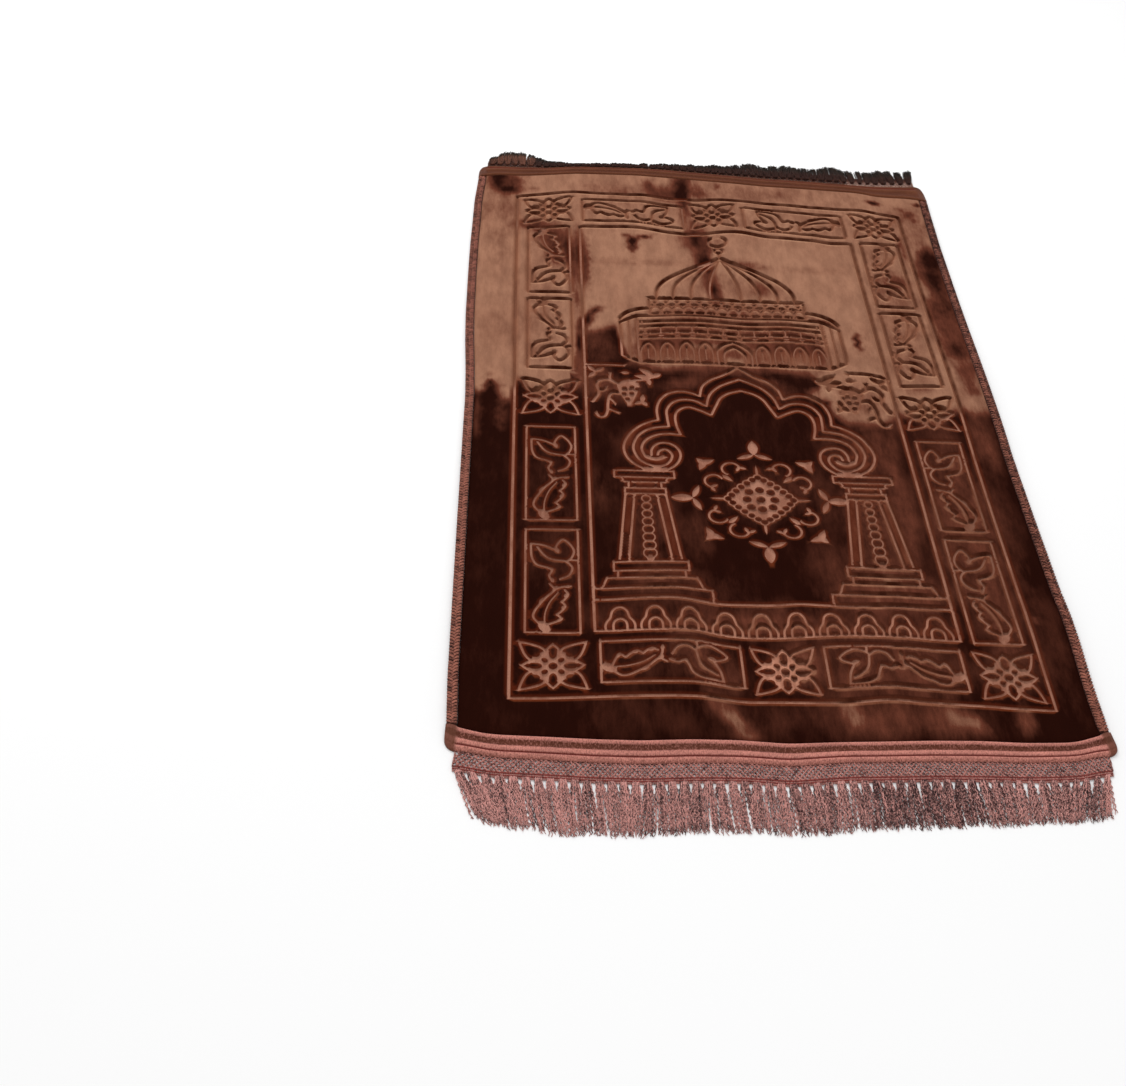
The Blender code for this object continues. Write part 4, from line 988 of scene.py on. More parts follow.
class Finish:
    """One material, built up from nodes. A node's inputs take plain values or other nodes' outputs."""

    def __init__(self, name):
        self.material = bpy.data.materials.new(name)
        self.material.use_nodes = True
        self.tree = self.material.node_tree
        self.shader = self.tree.nodes["Principled BSDF"]
        self.place = self.node("TexCoord", output="Object")

    def plug(self, socket, value):
        if isinstance(value, bpy.types.NodeSocket):
            self.tree.links.new(value, socket)
        elif hasattr(value, "__len__") and len(value) == 3 and socket.type == "RGBA":
            socket.default_value = (*value, 1)
        else:
            socket.default_value = value

    def node(self, kind, inputs=None, output=0, **settings):
        made = self.tree.nodes.new("ShaderNode" + kind)
        for key, value in settings.items():
            setattr(made, key, value)
        for key, value in (inputs or {}).items():
            self.plug(made.inputs[key], value)
        return made.outputs[output]

    def attribute(self, name):
        return self.node("Attribute", output="Fac", attribute_name=name)

    def math(self, operation, *values, clamp=False):
        return self.node("Math", dict(enumerate(values)), operation=operation, use_clamp=clamp)

    def mix(self, share, a, b):
        return self.node("Mix", {0: share, 6: a, 7: b}, output=2, data_type="RGBA")

    def stretched(self, x, y, z=1.0, turn=0.0):
        return self.node("Mapping", {"Vector": self.place, "Scale": (x, y, z), "Rotation": (0, 0, turn)})

    def ramp(self, share, low, middle, high):
        lower = self.mix(self.math("MULTIPLY", share, 2.0, clamp=True), low, middle)
        return self.mix(self.math("MULTIPLY_ADD", share, 2.0, -1.0, clamp=True), lower, high)

    def brighter(self, painted, value):
        return self.node("HueSaturation", {"Color": painted, "Value": value})

    def noise(self, *stretch, detail=2.0, rough=0.5):
        inputs = {"Vector": self.stretched(*stretch), "Scale": 1.0, "Detail": detail, "Roughness": rough}
        return self.node("TexNoise", inputs)

    def smooth(self, value, low, high, to_low=0.0, to_high=1.0):
        inputs = {0: value, 1: low, 2: high, 3: to_low, 4: to_high}
        return self.node("MapRange", inputs, interpolation_type="SMOOTHSTEP")

    def bump(self, height, distance, strength, normal=None):
        inputs = {"Height": height, "Distance": distance, "Strength": strength}
        return self.node("Bump", {**inputs, "Normal": normal} if normal else inputs)

    def shade(self, **inputs):
        for key, value in inputs.items():
            self.plug(self.shader.inputs[key.replace("_", " ")], value)
        return self.material


def velour_finish(pile):
    """Pressed velour with painted sheen: its nap is painted light or dark, and painted shade falls into the
    pressed lines on their far side.
    """
    f = Finish("velour")
    nap, pressed, shoulder, lee = (f.attribute(name) for name in ("nap", "pressed", "shoulder", "lee"))
    sweep = f.noise(13, 9, detail=3, rough=0.55)
    brush = f.noise(60, 22, detail=4, rough=0.6)
    streak = f.noise(260, 60, detail=3, rough=0.6)
    fleck = f.noise(900, 620)
    unsure = f.math("MULTIPLY", f.math("MULTIPLY", nap, f.math("SUBTRACT", 1.0, nap)), 2.0)
    tone = nap
    for stir, low, high, much, least in ((sweep, 0.25, 0.75, 0.52, 0.05), (brush, 0.2, 0.8, 0.50, 0.06),
                                         (streak, 0.2, 0.8, 0.22, 0.03)):
        either_way = f.smooth(stir, low, high, -0.5, 0.5)
        reach = f.math("MULTIPLY_ADD", unsure, much, least)
        tone = f.math("MULTIPLY_ADD", either_way, reach, tone, clamp=stir is streak)

    # the face's colour is the nap's painted sheen
    face = f.ramp(tone, pile.dark_nap, pile.middle_nap, pile.light_nap)
    uneven = f.smooth(f.noise(46, 46), 0.3, 0.7, 0.58, 1.0)
    # painted shadow on a line's far wall, patchy
    shaded_wall = f.math("MULTIPLY", f.smooth(lee, 0.05, 0.42), uneven)
    # painted highlight on a line's near wall, patchy
    lit_wall = f.math("MULTIPLY", f.smooth(lee, -0.06, -0.50), uneven)
    near_wall_highlight = f.mix(tone, pile.dark_glow, pile.light_glow)
    # painted light and shade where the pile leans into a line: redder than dark nap, darker than light nap
    beside = f.mix(tone, pile.dark_shoulder, pile.light_shoulder)
    leaning = f.math("MULTIPLY", f.smooth(shoulder, 0.08, 0.42), f.smooth(shoulder, 0.85, 0.55))
    face = f.mix(f.math("MULTIPLY", leaning, 0.75), face, beside)
    # the near wall's painted highlight
    face = f.mix(f.math("MULTIPLY", lit_wall, 0.75), face, near_wall_highlight)
    # pressed floors with painted sheen, lighter where the nap is painted dark; the glint adds painted
    # highlight
    floor = f.ramp(tone, pile.dark_floor, pile.middle_floor, pile.light_floor)
    floor = f.brighter(floor, f.math("ADD", f.attribute("glint"), 1.0))
    # painted sheen broken into patches: in places a floor takes the shoulder's painted light and shade
    patchy_floor_sheen = f.mix(f.math("MULTIPLY", f.smooth(brush, 0.42, 0.62), 0.45), floor, beside)
    painted = f.mix(f.smooth(pressed, 0.30, 0.95), face, patchy_floor_sheen)
    # painted shadow on the far wall, strongest where the nap is painted light
    shadow = f.math("MULTIPLY", shaded_wall, f.smooth(tone, 0.06, 0.50, 0.30, 1.0))
    painted = f.mix(shadow, painted, f.mix(tone, pile.dark_nap, pile.wall_shadow))
    grain = f.math("ADD", f.smooth(fleck, 0.3, 0.7, -0.10, 0.10), f.smooth(brush, 0.3, 0.7, -0.08, 0.08))
    painted = f.brighter(painted, f.math("ADD", grain, 1.0))

    fibres = f.bump(f.noise(1500, 700, detail=3), 0.4 * MM, 0.5)
    dents = f.bump(brush, 1.5 * MM, 0.5, fibres)
    rough = f.smooth(pressed, 0.3, 1.0, 0.95, 0.7)
    return f.shade(Base_Color=painted, Roughness=rough, Normal=dents,
                   Specular_IOR_Level=0.02, Sheen_Weight=0.015, Sheen_Roughness=0.5,
                   Sheen_Tint=(*pile.middle_nap, 1))


def yarn_finish(name, light, dark, sheen=0.08, fade=None, fleck=0.35, pale=None):
    """Spun yarn: each strand has its own shade, flecks of both dyes and fine plies.

    A shade past 1 turns the strand's root pale."""
    f = Finish(name)
    shade, share = f.attribute("shade"), f.attribute("share")
    flecks = f.noise(520, 520, 520, detail=3, rough=0.6)
    drift = f.noise(110, 110, detail=3)
    tone = f.math("ADD", shade, f.smooth(flecks, 0.28, 0.72, -fleck, fleck))
    tone = f.math("ADD", tone, f.smooth(drift, 0.3, 0.7, -0.20, 0.20), clamp=True)
    painted = f.mix(tone, dark, light)
    if fade is not None:
        painted = f.mix(f.smooth(share, *fade["share"], 0.0, fade["most"]), painted, fade["colour"])
    if pale is not None:
        rooted = f.math("MULTIPLY", f.smooth(shade, 1.0, 2.0), f.smooth(share, 0.85, 0.5))
        painted = f.mix(rooted, painted, pale)
    plies = f.bump(f.noise(900, 900, 900), 0.35 * MM, 0.7)
    return f.shade(Base_Color=painted, Roughness=0.85, Normal=plies,
                   Specular_IOR_Level=0.12, Sheen_Weight=sheen, Sheen_Roughness=0.5)


def tape_finish(name, tape, ridge_dye, valley_dye):
    """Ribbed tape: pale ridges, a satin valley, a dark line of stitches and plain brown ends, darkened with
    painted shade.
    """
    f = Finish(name)
    ridge, stitched, tuck = f.attribute("ridge"), f.attribute("stitched"), f.attribute("tuck")
    fleck = f.noise(900, 420, 600, detail=3)
    wave = {"Vector": f.stretched(1, 1, 1, 0.35), "Scale": 420.0, "Distortion": 1.5, "Detail": 1.0}
    satin = f.node("TexWave", wave, output="Fac", bands_direction="X")
    drift = f.noise(24, 60)
    base = f.mix(f.smooth(satin, 0.2, 0.8, 0.0, 0.45), valley_dye, tape.valley_light)
    tone = f.math("ADD", ridge, f.smooth(fleck, 0.3, 0.7, -0.34, 0.26), clamp=True)
    painted = f.mix(tone, base, ridge_dye)
    painted = f.mix(stitched, painted, tape.stitch)
    # painted shade at the tape's ends: the plain tucked end takes a dark brown
    painted = f.mix(f.math("MULTIPLY", tuck, 0.85), painted, tape.tuck)
    painted = f.brighter(painted, f.smooth(drift, 0.3, 0.7, 0.90, 1.08))
    weave = f.bump(f.math("ADD", satin, fleck), 0.25 * MM, 0.6)
    rough = f.smooth(ridge, 0.0, 1.0, 0.55, 0.8)
    return f.shade(Base_Color=painted, Roughness=rough, Normal=weave,
                   Specular_IOR_Level=0.08, Sheen_Weight=0.02, Sheen_Roughness=0.5)


# ---------------------------------------------------------------- settings a user would change


def size(name, description, default, low, high):
    """A length, from millimetres."""
    return FloatProperty(name=name, description=description, default=default * MM, min=low * MM,
                         max=high * MM, unit="LENGTH", precision=4)


def number(name, description, default, low, high):
    return IntProperty(name=name, description=description, default=default, min=low, max=high)


def paint(name, description, linear):
    return FloatVectorProperty(name=name, description=description, default=linear, subtype="COLOR", size=3,
                               min=0, max=1)


def dye(name, description, *card):
    return paint(name, description, colour(*card))


def strength(name, description, default, high, unit="NONE"):
    return FloatProperty(name=name, description=description, default=default, min=0, max=high, unit=unit)


class VelourSettings(bpy.types.PropertyGroup):
    press_depth: size("Press depth", "How deep the hot die pressed its lines", 2.0, 0.0, 4)
    shoulder_drop: size("Shoulder drop", "How far the pile leans down beside a pressed line", 1.0, 0.0, 2)
    edge_roll: size("Edge roll", "How far the cut edge of the pile rolls down", 1.6, 0.0, 3)
    unevenness: size("Unevenness", "Small rise and fall of the pile's face", 0.25, 0.0, 1)
    # The nap's colours are painted sheen: dark, middling and light as the brushed pile catches the light
    dark_nap: dye("Dark nap", "Nap brushed one way", 34, 10, 5)
    middle_nap: dye("Middle nap", "Nap standing up", 98, 52, 38)
    light_nap: dye("Light nap", "Nap brushed the other way", 154, 110, 87)
    # Painted light and shade on the pile leaning into a line
    dark_shoulder: dye("Dark shoulder", "Pile leaning into a line where the nap is dark", 92, 34, 16)
    light_shoulder: dye("Light shoulder", "Pile leaning into a line where the nap is light", 134, 86, 64)
    # Painted highlights on the near wall of a line
    dark_glow: dye("Glow in dark nap", "The near wall of a line where the nap is dark", 110, 50, 26)
    light_glow: dye("Glow in light nap", "The near wall of a line where the nap is light", 182, 136, 108)
    # Painted shadow on the far wall of a line
    wall_shadow: dye("Hidden wall", "The far wall of a line where the nap is light", 54, 20, 7)
    # Pressed floors with painted sheen: light in dark nap, dark in light nap
    dark_floor: dye("Floor in dark nap", "A pressed floor where the nap is dark", 172, 121, 100)
    middle_floor: dye("Floor in middling nap", "A pressed floor where the nap stands up", 130, 86, 68)
    light_floor: dye("Floor in light nap", "A pressed floor where the nap is light", 112, 68, 48)


class BraidSettings(bpy.types.PropertyGroup):
    pitch: size("Pitch", "From one stitch of the braid to the next", 4.7, 3, 12)
    slant: size("Slant", "How far along the edge each stitch runs", 5.6, 0.0, 12)
    yarn: size("Yarn", "Radius of one yarn", 0.82, 0.2, 2)
    light: dye("Light yarn", "The yarn on the braid's face", 172, 108, 90)
    # Dark yarn of the braid's core: partly a darker yarn, partly painted shade between the stitches
    dark: dye("Dark yarn", "The yarn between the stitches", 58, 27, 20)


class TapeSettings(bpy.types.PropertyGroup):
    rib_pitch: size("Rib pitch", "From one rib of the tape to the next", 1.3, 0.8, 5)
    rib_height: size("Rib height", "How far the ribs stand up on the ridges", 0.5, 0.0, 1)
    ridge: dye("Ridge", "Pale yarn on the ridges", 220, 146, 132)
    valley: dye("Valley", "Satin between the ridges", 80, 38, 26)
    valley_light: dye("Valley sheen", "Where the satin catches the light", 112, 62, 44)
    stitch: dye("Stitch line", "The sewing line along the tape", 96, 26, 24)
    # The plain tucked end's colour: partly the plain end's own brown, partly painted shade at the corners
    tuck: dye("Tucked end", "The plain end of the tape, tucked under", 92, 51, 35)
    # The far tape's ridge and valley are copies of the near ones in painted shade
    far_ridge_in_shade: dye("Far ridge", "The yarn of the far tape, in its own shade", 112, 66, 45)
    far_valley_in_shade: dye("Far valley", "Satin of the far tape", 84, 43, 26)


class NetSettings(bpy.types.PropertyGroup):
    pitch: size("Mesh pitch", "From one hole of the net to the next", 5.0, 3, 20)
    rows: number("Rows", "Rows of holes", 3, 1, 6)
    net_width: size("Net width", "From the tape to the cord line", 18.4, 5, 20)
    yarn: size("Yarn", "Radius of one yarn", 0.84, 0.2, 2)
    light: dye("Light yarn", "Pale yarn of the near net", 190, 128, 118)
    dark: dye("Dark yarn", "Flecks in the near yarn", 72, 40, 38)
    cord: dye("Cord line", "The fine red cords beside the tassels", 138, 56, 50)
    # The far net's and cords' yarns are copies of the near ones in painted shade
    shaded_far_light: dye("Far light", "Pale yarn of the far net", 98, 56, 42)
    shaded_far_dark: dye("Far dark", "Flecks in the far yarn", 42, 24, 18)
    shaded_far_cord: dye("Far cord", "The fine cords of the far net", 74, 38, 30)
    # The far net's yarn turns to this paler colour at its right end, near the tape, where its painted shade
    # gives way
    far_pale: dye("Far pale", "Undyed yarn at the right of the far net", 176, 140, 126)


class TasselSettings(bpy.types.PropertyGroup):
    near_strands: number("Near strands", "Yarns in a combed tassel", 24, 6, 30)
    far_strands: number("Far strands", "Yarns in a crimped tassel", 20, 6, 24)
    yarn: size("Yarn", "Radius of one yarn", 0.66, 0.2, 1.5)
    near_crimp: size("Near crimp", "Waviness of the combed yarns", 1.1, 0.0, 3)
    far_crimp: size("Far crimp", "Waviness of the crimped yarns", 1.5, 0.0, 3)
    stray: size("Stray", "How far a tassel's tip may lean off its line", 1.5, 0.0, 10)
    near_light: dye("Near light", "Pale yarn of the near fringe", 226, 166, 157)
    near_dark: dye("Near dark", "Dark flecks of the near fringe", 68, 40, 40)
    # The far fringe's yarns are a copy of the fringe's yarn in painted shade
    shaded_far_light: dye("Far light", "Pale yarn of the far fringe", 50, 35, 27)
    shaded_far_dark: dye("Far dark", "Dark flecks of the far fringe", 10, 8, 6)
    # The far fringe's yarn is redder at its roots and browner at its left end than its tips in painted shade
    far_root: dye("Far root", "The far fringe's yarn beside the tape", 72, 38, 30)
    far_brown: dye("Far brown", "The yarn at the left of the far fringe", 132, 84, 66)


class StageSettings(bpy.types.PropertyGroup):
    floor: paint("Floor", "Colour of the plain floor", (0.95, 0.95, 0.95))
    sky: strength("Sky", "Strength of the even light all round", 0.75, 5)
    key: strength("Key light", "Power of the large soft light", 34, 500, "POWER")
    fill: strength("Fill light", "Power of the light from the viewer", 10, 500, "POWER")


# ---------------------------------------------------------------- one operator for each piece or group


class RUG_OT_velour(bpy.types.Operator):
    """Make the pile cloth with its pressed pattern and brushed nap, whose sheen and shade are painted into
    its colour
    """

    bl_idname = "rug.velour"
    bl_label = "Velour"

    def execute(self, context):
        pile = context.scene.rug_velour
        strokes = pressed_pattern()
        field = PressField(strokes)
        detail = pile_points(strokes)
        outline = pile_outline()
        between_lines = clear_of(grid(PILE_GRID, 0.25, PILE_INSET), detail, CLEAR)
        flat, faces, ring = triangles(outline, detail + between_lines)
        pressed, shoulder = field.at(field.pressed, flat), field.at(field.shoulder, flat)
        # which wall of a pressed line each point lies on: painted shade on the far wall, painted highlight on
        # the near one
        lean = np.column_stack([WALL_LIGHT_SHIFT[0] * (0.3 + flat[:, 0] / EDGE_X), np.full(len(flat), WALL_LIGHT_SHIFT[1])])
        lee = field.at(field.soft, flat - lean) - field.at(field.soft, flat + lean)
        x, y = flat[:, 0], flat[:, 1]
        inset = np.minimum(EDGE_X - GAP - np.abs(x), tape_inner(x) - GAP - np.abs(y))
        rolled = pile.edge_roll * (1 - smooth(0, 1, np.sqrt(np.clip(inset / ROLL, 0, 1))))
        wander = 2.1 * np.sin(y / (31 * MM))
        uneven = pile.unevenness * (np.sin(x / (9 * MM) + wander) * np.sin(y / (13 * MM) + 1.7))
        top = ripple(x, y) + PILE_HEIGHT - pile.press_depth * pressed
        top = top - pile.shoulder_drop * np.minimum(shoulder, 1) - rolled
        top = top + uneven * (1 - pressed) * smooth(0, UNEVEN_FROM, inset)

        under, under_faces, under_ring = triangles(outline, grid(UNDER_GRID, 0, UNDER_INSET).tolist())
        first = len(flat)
        faces = [list(face) for face in faces] + [[first + i for i in reversed(face)] for face in under_faces]
        for i in range(len(outline)):
            n = (i + 1) % len(outline)
            faces.append([ring[i], ring[n], first + under_ring[n], first + under_ring[i]])
        below = ripple(under[:, 0], under[:, 1])
        points = np.vstack([np.column_stack([x, y, top]), np.column_stack([under, below])])
        blank = np.zeros(len(below))
        attributes = {
            "nap": np.concatenate([painted_nap_sheen(flat), blank + UNDER_TONE]),
            "glint": np.concatenate([patched(flat, LINE_PATCHES), blank]),
            "pressed": np.concatenate([pressed, blank]),
            "shoulder": np.concatenate([shoulder, blank]),
            "lee": np.concatenate([lee, blank]),
        }
        made_piece("velour", "pile_cloth", points, faces, velour_finish(pile), attributes)
        return {"FINISHED"}


# The braid's section, from its inner foot over the top to its outer foot, as shares of its width and height
BRAID_SECTION = ((0, 0), (0, 0.6), (0.2, 0.9), (0.5, 1), (0.8, 0.88), (1, 0.55), (0.94, 0))
BRAID_CORE = {"outer": 0.95, "height": 0.82}  # the dark core's size beside the whole braid's
BRAID_END = {"length": 14 * MM, "lower": 0.16}  # how it flattens towards its ends
LEG_POINTS = 7
# Painted shade on each braid: how much darker it is, by where along the rug
BRAID_DUSK = {
    -1: ((-550, -0.06), (0, 0), (200, 0.1), (550, 0.18)),
    1: ((-550, -0.04), (-450, 0.08), (-350, 0.24), (100, 0.28), (250, 0.34), (400, 0.5), (550, 0.5)),
}


class RUG_OT_braids(bpy.types.Operator):
    """Make the herringbone braid along each long edge"""

    bl_idname = "rug.braids"
    bl_label = "Braids"

    def execute(self, context):
        braid = context.scene.rug_braid
        material = yarn_finish("braid_yarn", braid.light, braid.dark)
        end_y = float(tape_inner(WIDTH / 2)) - GAP
        across, up = np.array(BRAID_SECTION).T
        count = math.ceil(2 * end_y / braid.pitch)
        s = np.linspace(0, 1, LEG_POINTS)
        swell = braid.yarn * (0.75 + 0.25 * np.sin(math.pi * s))

        def lowered(y):
            return 1 - BRAID_END["lower"] * smooth(end_y - BRAID_END["length"], end_y, np.abs(y))

        for side, word in SIDES.items():
            # the dark core shows between the stitches: partly a darker yarn, partly painted shade
            core = np.empty((count, len(across), 3))
            for i, y in enumerate(np.linspace(-end_y, end_y, count)):
                core[i, :, 0] = side * (EDGE_X + across * BRAID_CORE["outer"] * BRAID_WIDTH)
                core[i, :, 1] = y
                height = up * BRAID_HEIGHT * BRAID_CORE["height"] * lowered(y)
                core[i, :, 2] = ripple(side * EDGE_X, y) + height
            core_points, core_faces = lofted(core[:, ::side])
            blank = np.zeros(len(core_points))

            rng = np.random.default_rng(11 + side)
            legs, shades = [], []
            for i in range(count + 1):
                for way in (-1, 1):  # from the middle of the braid to its inner edge, then to its outer one
                    for ply in (-1, 1):
                        start = -end_y + braid.pitch * (i - 0.6) + (braid.pitch / 2 if way > 0 else 0)
                        y = start + s * braid.slant + ply * braid.yarn * 0.95 + rng.normal(0, 0.15 * MM)
                        share = 0.5 + way * (0.5 * s - 0.06 * (1 - s))
                        height = np.interp(share, across[1:-1], up[1:-1]) * BRAID_HEIGHT
                        tuck = 1.5 * MM * (1 - smooth(0, 0.35, s)) + 1.2 * MM * smooth(0.8, 1.0, s)
                        y = np.clip(y, -end_y + braid.yarn, end_y - braid.yarn)
                        x = side * (EDGE_X + np.clip(share, 0.06, 0.94) * BRAID_WIDTH)
                        z = ripple(side * EDGE_X, y) + height * lowered(y) - tuck + rng.normal(0, 0.08 * MM)
                        legs.append(np.column_stack([x, y, z]))
                        # painted shade: each braid darker along the rug as the table gives, and darker still
                        # on its outer legs
                        dusk = float(between(BRAID_DUSK[side], start / MM)) + (0.20 if way > 0 else 0)
                        shades.append(np.clip(rng.normal(0.76, 0.16) - dusk, 0, 1))
            yarn_piece(f"braid_{word}", f"binding_{word}", material, (core_points, core_faces, blank, blank),
                       tubes(legs, swell, 5, shades))
        return {"FINISHED"}


# The tape's section: across it from its inner edge, height, how pale it is, and how much its ribs show
TAPE_SECTION = (
    (0, 3.6, 0.5, 0.3), (0.03, 5.6, 0.9, 0.9), (0.08, 6.9, 1, 1), (0.13, 6.9, 1, 1), (0.18, 5.8, 0.9, 0.8),
    (0.21, 4.4, 0.2, 0.1), (0.29, 4.1, 0, 0), (0.41, 4.2, 0, 0), (0.47, 4.5, 0.3, 0.2),
    (0.51, 5.7, 0.85, 0.9), (0.57, 6.4, 1, 1), (0.65, 6.4, 1, 1), (0.7, 5.8, 0.9, 0.9),
    (0.74, 4.6, 0.4, 0.2), (0.78, 4.7, 0.4, 0.2), (0.82, 5.7, 0.9, 0.9), (0.88, 5.7, 0.9, 1),
    (0.94, 4.8, 0.8, 0.8), (1, 2.4, 0.6, 0.4),
)
STITCH_LINE = 0.76  # where the dark sewing line runs across the tape
PLAIN_SECTION = ((0, 6.9), (0.1, 7.1), (0.5, 6.2), (0.9, 4.9), (1, 2.4))  # where the tape is plain
TUCK = {"length": 15 * MM, "turn": 5 * MM, "squeeze": 0.34}


class RUG_OT_tapes(bpy.types.Operator):
    """Make the ribbed tape across each end"""

    bl_idname = "rug.tapes"
    bl_label = "Tapes"

    def execute(self, context):
        tape = context.scene.rug_tape
        # the far tape takes a copy of the tape's colours in painted shade
        finishes = {-1: tape_finish("ribbed_tape", tape, tape.ridge, tape.valley),
                    1: tape_finish("shaded_far_ribbed_tape", tape, tape.far_ridge_in_shade, tape.far_valley_in_shade)}
        half = WIDTH / 2
        count = 3 * round(2 * half / tape.rib_pitch)
        x = np.linspace(-half, half, count + 1)
        rib = np.where(np.arange(count + 1) % 3 == 0, 0.0, 1.0)[:, None]
        across, up, ridge, ribs = np.array(TAPE_SECTION).T
        plain_across, plain_up = np.array(PLAIN_SECTION).T
        plain = np.interp(across, plain_across, plain_up * MM)
        low, high = tape_inner(x), tape_outer(x)
        start = half - TUCK["length"]
        tuck = smooth(start, start + TUCK["turn"], np.abs(x))[:, None]
        squeeze = 1 - TUCK["squeeze"] * smooth(half - TUCK["turn"], half, np.abs(x))
        height = up * MM * (1 - tuck) + plain * tuck
        height = height + tape.rib_height * (rib - 0.6) * ribs * (1 - tuck)
        shape = (count + 1, len(across) + 2)
        pale, stitched = np.zeros(shape), np.zeros(shape)
        pale[:, 1:-1] = ridge * (0.45 + 0.55 * rib)
        stitched[:, 1:-1] = np.where(np.abs(across - STITCH_LINE) < 0.035, 0.9, 0) * (1 - tuck)
        for end, word in ENDS.items():
            lift = ripple(x, end * low)
            sections = np.zeros((*shape, 3))
            sections[:, :, 0] = x[:, None]
            sections[:, 0, 1], sections[:, -1, 1] = low, high
            sections[:, 1:-1, 1] = low[:, None] + across * (high - low)[:, None]
            sections[:, 1:-1, 2] = lift[:, None] * (1 - across**2) + squeeze[:, None] * height
            sections[:, 0, 2] = lift
            sections[:, :, 1] *= end
            points, faces = lofted(sections[:, ::-end])
            attributes = {"ridge": pale[:, ::-end].ravel(), "stitched": stitched[:, ::-end].ravel(),
                          "tuck": np.repeat(tuck, shape[1])}
            made_piece(f"tape_{word}", f"end_tape_{word}", points, faces, finishes[end], attributes)
        return {"FINISHED"}


NET_POINTS = 14
# The stitches across the cord lines, and the lines' two twisted plies
STITCH = {"pitch": 1.55 * MM, "yarn": 0.78 * MM, "lean": 0.5 * MM, "over": 0.8 * MM}
CORD = {"turn": 3.2 * MM, "radius": 0.42 * MM, "yarn": 0.55 * MM, "height": 2.1 * MM}


class RUG_OT_nets(bpy.types.Operator):
    """Make the netted heading and cord line under each tape"""

    bl_idname = "rug.nets"
    bl_label = "Net headings"

    def execute(self, context):
        net = context.scene.rug_net
        # the far net and its cords take copies of the yarns in painted shade
        yarns = {-1: yarn_finish("net_yarn", net.light, net.dark, fleck=0.5),
                 1: yarn_finish("shaded_far_net_yarn", net.shaded_far_light, net.shaded_far_dark, pale=net.far_pale)}
        cord_yarns = {-1: yarn_finish("cord_yarn", net.cord, net.dark),
                      1: yarn_finish("shaded_far_cord_yarn", net.shaded_far_cord, net.shaded_far_dark)}
        half, reach = HEADING_LENGTH / 2, net.rows * net.pitch
        s, t = np.linspace(0, 1, NET_POINTS), np.linspace(0, 1, 5)
        turn = 2 * math.pi * s * net.rows * 1.5
        stitch_length = HEADING_WIDTH - net.net_width + 2 * STITCH["over"]
        for end, word in ENDS.items():
            rng = np.random.default_rng(31 + end)
            paths = []
            for way in (-1, 1):
                for start in np.arange(-half - reach, half + reach, net.pitch):
                    x = start + way * reach * (s - 0.5) + rng.normal(0, 0.15 * MM)
                    wobble = 0.35 * MM * np.sin(2 * math.pi * (s * net.rows * 2 + rng.uniform()))
                    if (np.abs(x) <= half).sum() < 4:
                        continue
                    y = TAPE_EDGE_Y + GAP + s * net.net_width
                    over = 0.55 * MM * way * np.cos(math.pi * s * 2)
                    for ply in (-1, 1):
                        px = np.clip(x + wobble + ply * 0.55 * MM * np.cos(turn), -half, half)
                        pz = 1.55 * MM + over * 0.8 + ply * 0.30 * MM * np.sin(turn)
                        paths.append(np.column_stack([px, end * y, np.maximum(pz, net.yarn)]))
            paths = np.array(paths)
            shades = np.clip(rng.normal(0.62, 0.2, len(paths)), 0, 1)
            # the far net's yarns turn to the paler colour near the tape at its right end
            if end > 0:
                shades = shades + smooth(225 * MM, 245 * MM, paths[:, :, 0].mean(1))

            loops = []
            for start in np.arange(-half + STITCH["pitch"] / 2, half, STITCH["pitch"]):
                x = start + rng.normal(0, 0.12 * MM) + STITCH["lean"] * (t - 0.5)
                y = TAPE_EDGE_Y + net.net_width - STITCH["over"] + t * stitch_length
                z = 1.0 * MM + 0.7 * MM * np.sin(math.pi * t)
                loops.append(np.column_stack([x, end * y, z]))
            loop_shades = np.clip(rng.normal(0.8, 0.2, len(loops)), 0, 1)
            yarn_piece(f"net_{word}", f"fringe_{word}", yarns[end], tubes(paths, net.yarn, 4, shades),
                       tubes(loops, STITCH["yarn"], 4, loop_shades))

            cords = []
            x = np.linspace(-half + 0.5 * MM, half - 0.5 * MM, round(HEADING_LENGTH / CORD["turn"] * 4))
            twist = 2 * math.pi * x / CORD["turn"]
            for line_y in (TAPE_EDGE_Y + net.net_width + 0.4 * MM, TASSEL_ROOT_Y - 1.9 * MM):
                for ply in (0, math.pi):
                    y = end * (line_y + CORD["radius"] * np.cos(twist + ply))
                    z = CORD["height"] + CORD["radius"] * np.sin(twist + ply)
                    cords.append(np.column_stack([x, y, z]))
            yarn_piece(f"cord_line_{word}", f"fringe_{word}", cord_yarns[end],
                       tubes(cords, CORD["yarn"], 4, (0.8, 0.6, 0.8, 0.6)))
        return {"FINISHED"}


# Painted shade on the near fringe: how much darker it is, by where across the rug
DUSK = (
    (-330, -0.1), (-60, -0.05), (0, 0.04), (70, 0.08), (100, 0.34), (150, 0.48), (175, 0.24), (225, 0),
    (330, 0.04))
ROOT_HALF = 3.3 * MM  # half the width of a tassel's root
FAR_ROOT = 7 * MM  # where the far tassels come through the net, from the tape
STRAND_POINTS = {-1: 20, 1: 17}
CRIMP_LENGTH = {-1: 7.5 * MM, 1: 4.6 * MM}  # of one wave of a strand
# How far the tassels at each side of a fringe lean towards the middle
LEAN_IN = {-1: {-1: 26 * MM, 1: 16 * MM}, 1: {-1: 6 * MM, 1: -3 * MM}}
SWAY = {"size": 2.2 * MM, "length": 210 * MM}


def lock_sway(end, x, along):
    """Sideways drift of a tassel at a share of its length: like its neighbours', so they lean together."""
    wave = SWAY["size"] * np.sin(2 * math.pi * x / SWAY["length"] + 2.2 * along)
    wave = wave + 1.4 * SWAY["size"] * math.sin(2 * math.pi * x / (0.31 * SWAY["length"]) + 1.0)
    share = x / (HEADING_LENGTH / 2)
    return along * (wave - LEAN_IN[end][-1 if x < 0 else 1] * share**5)


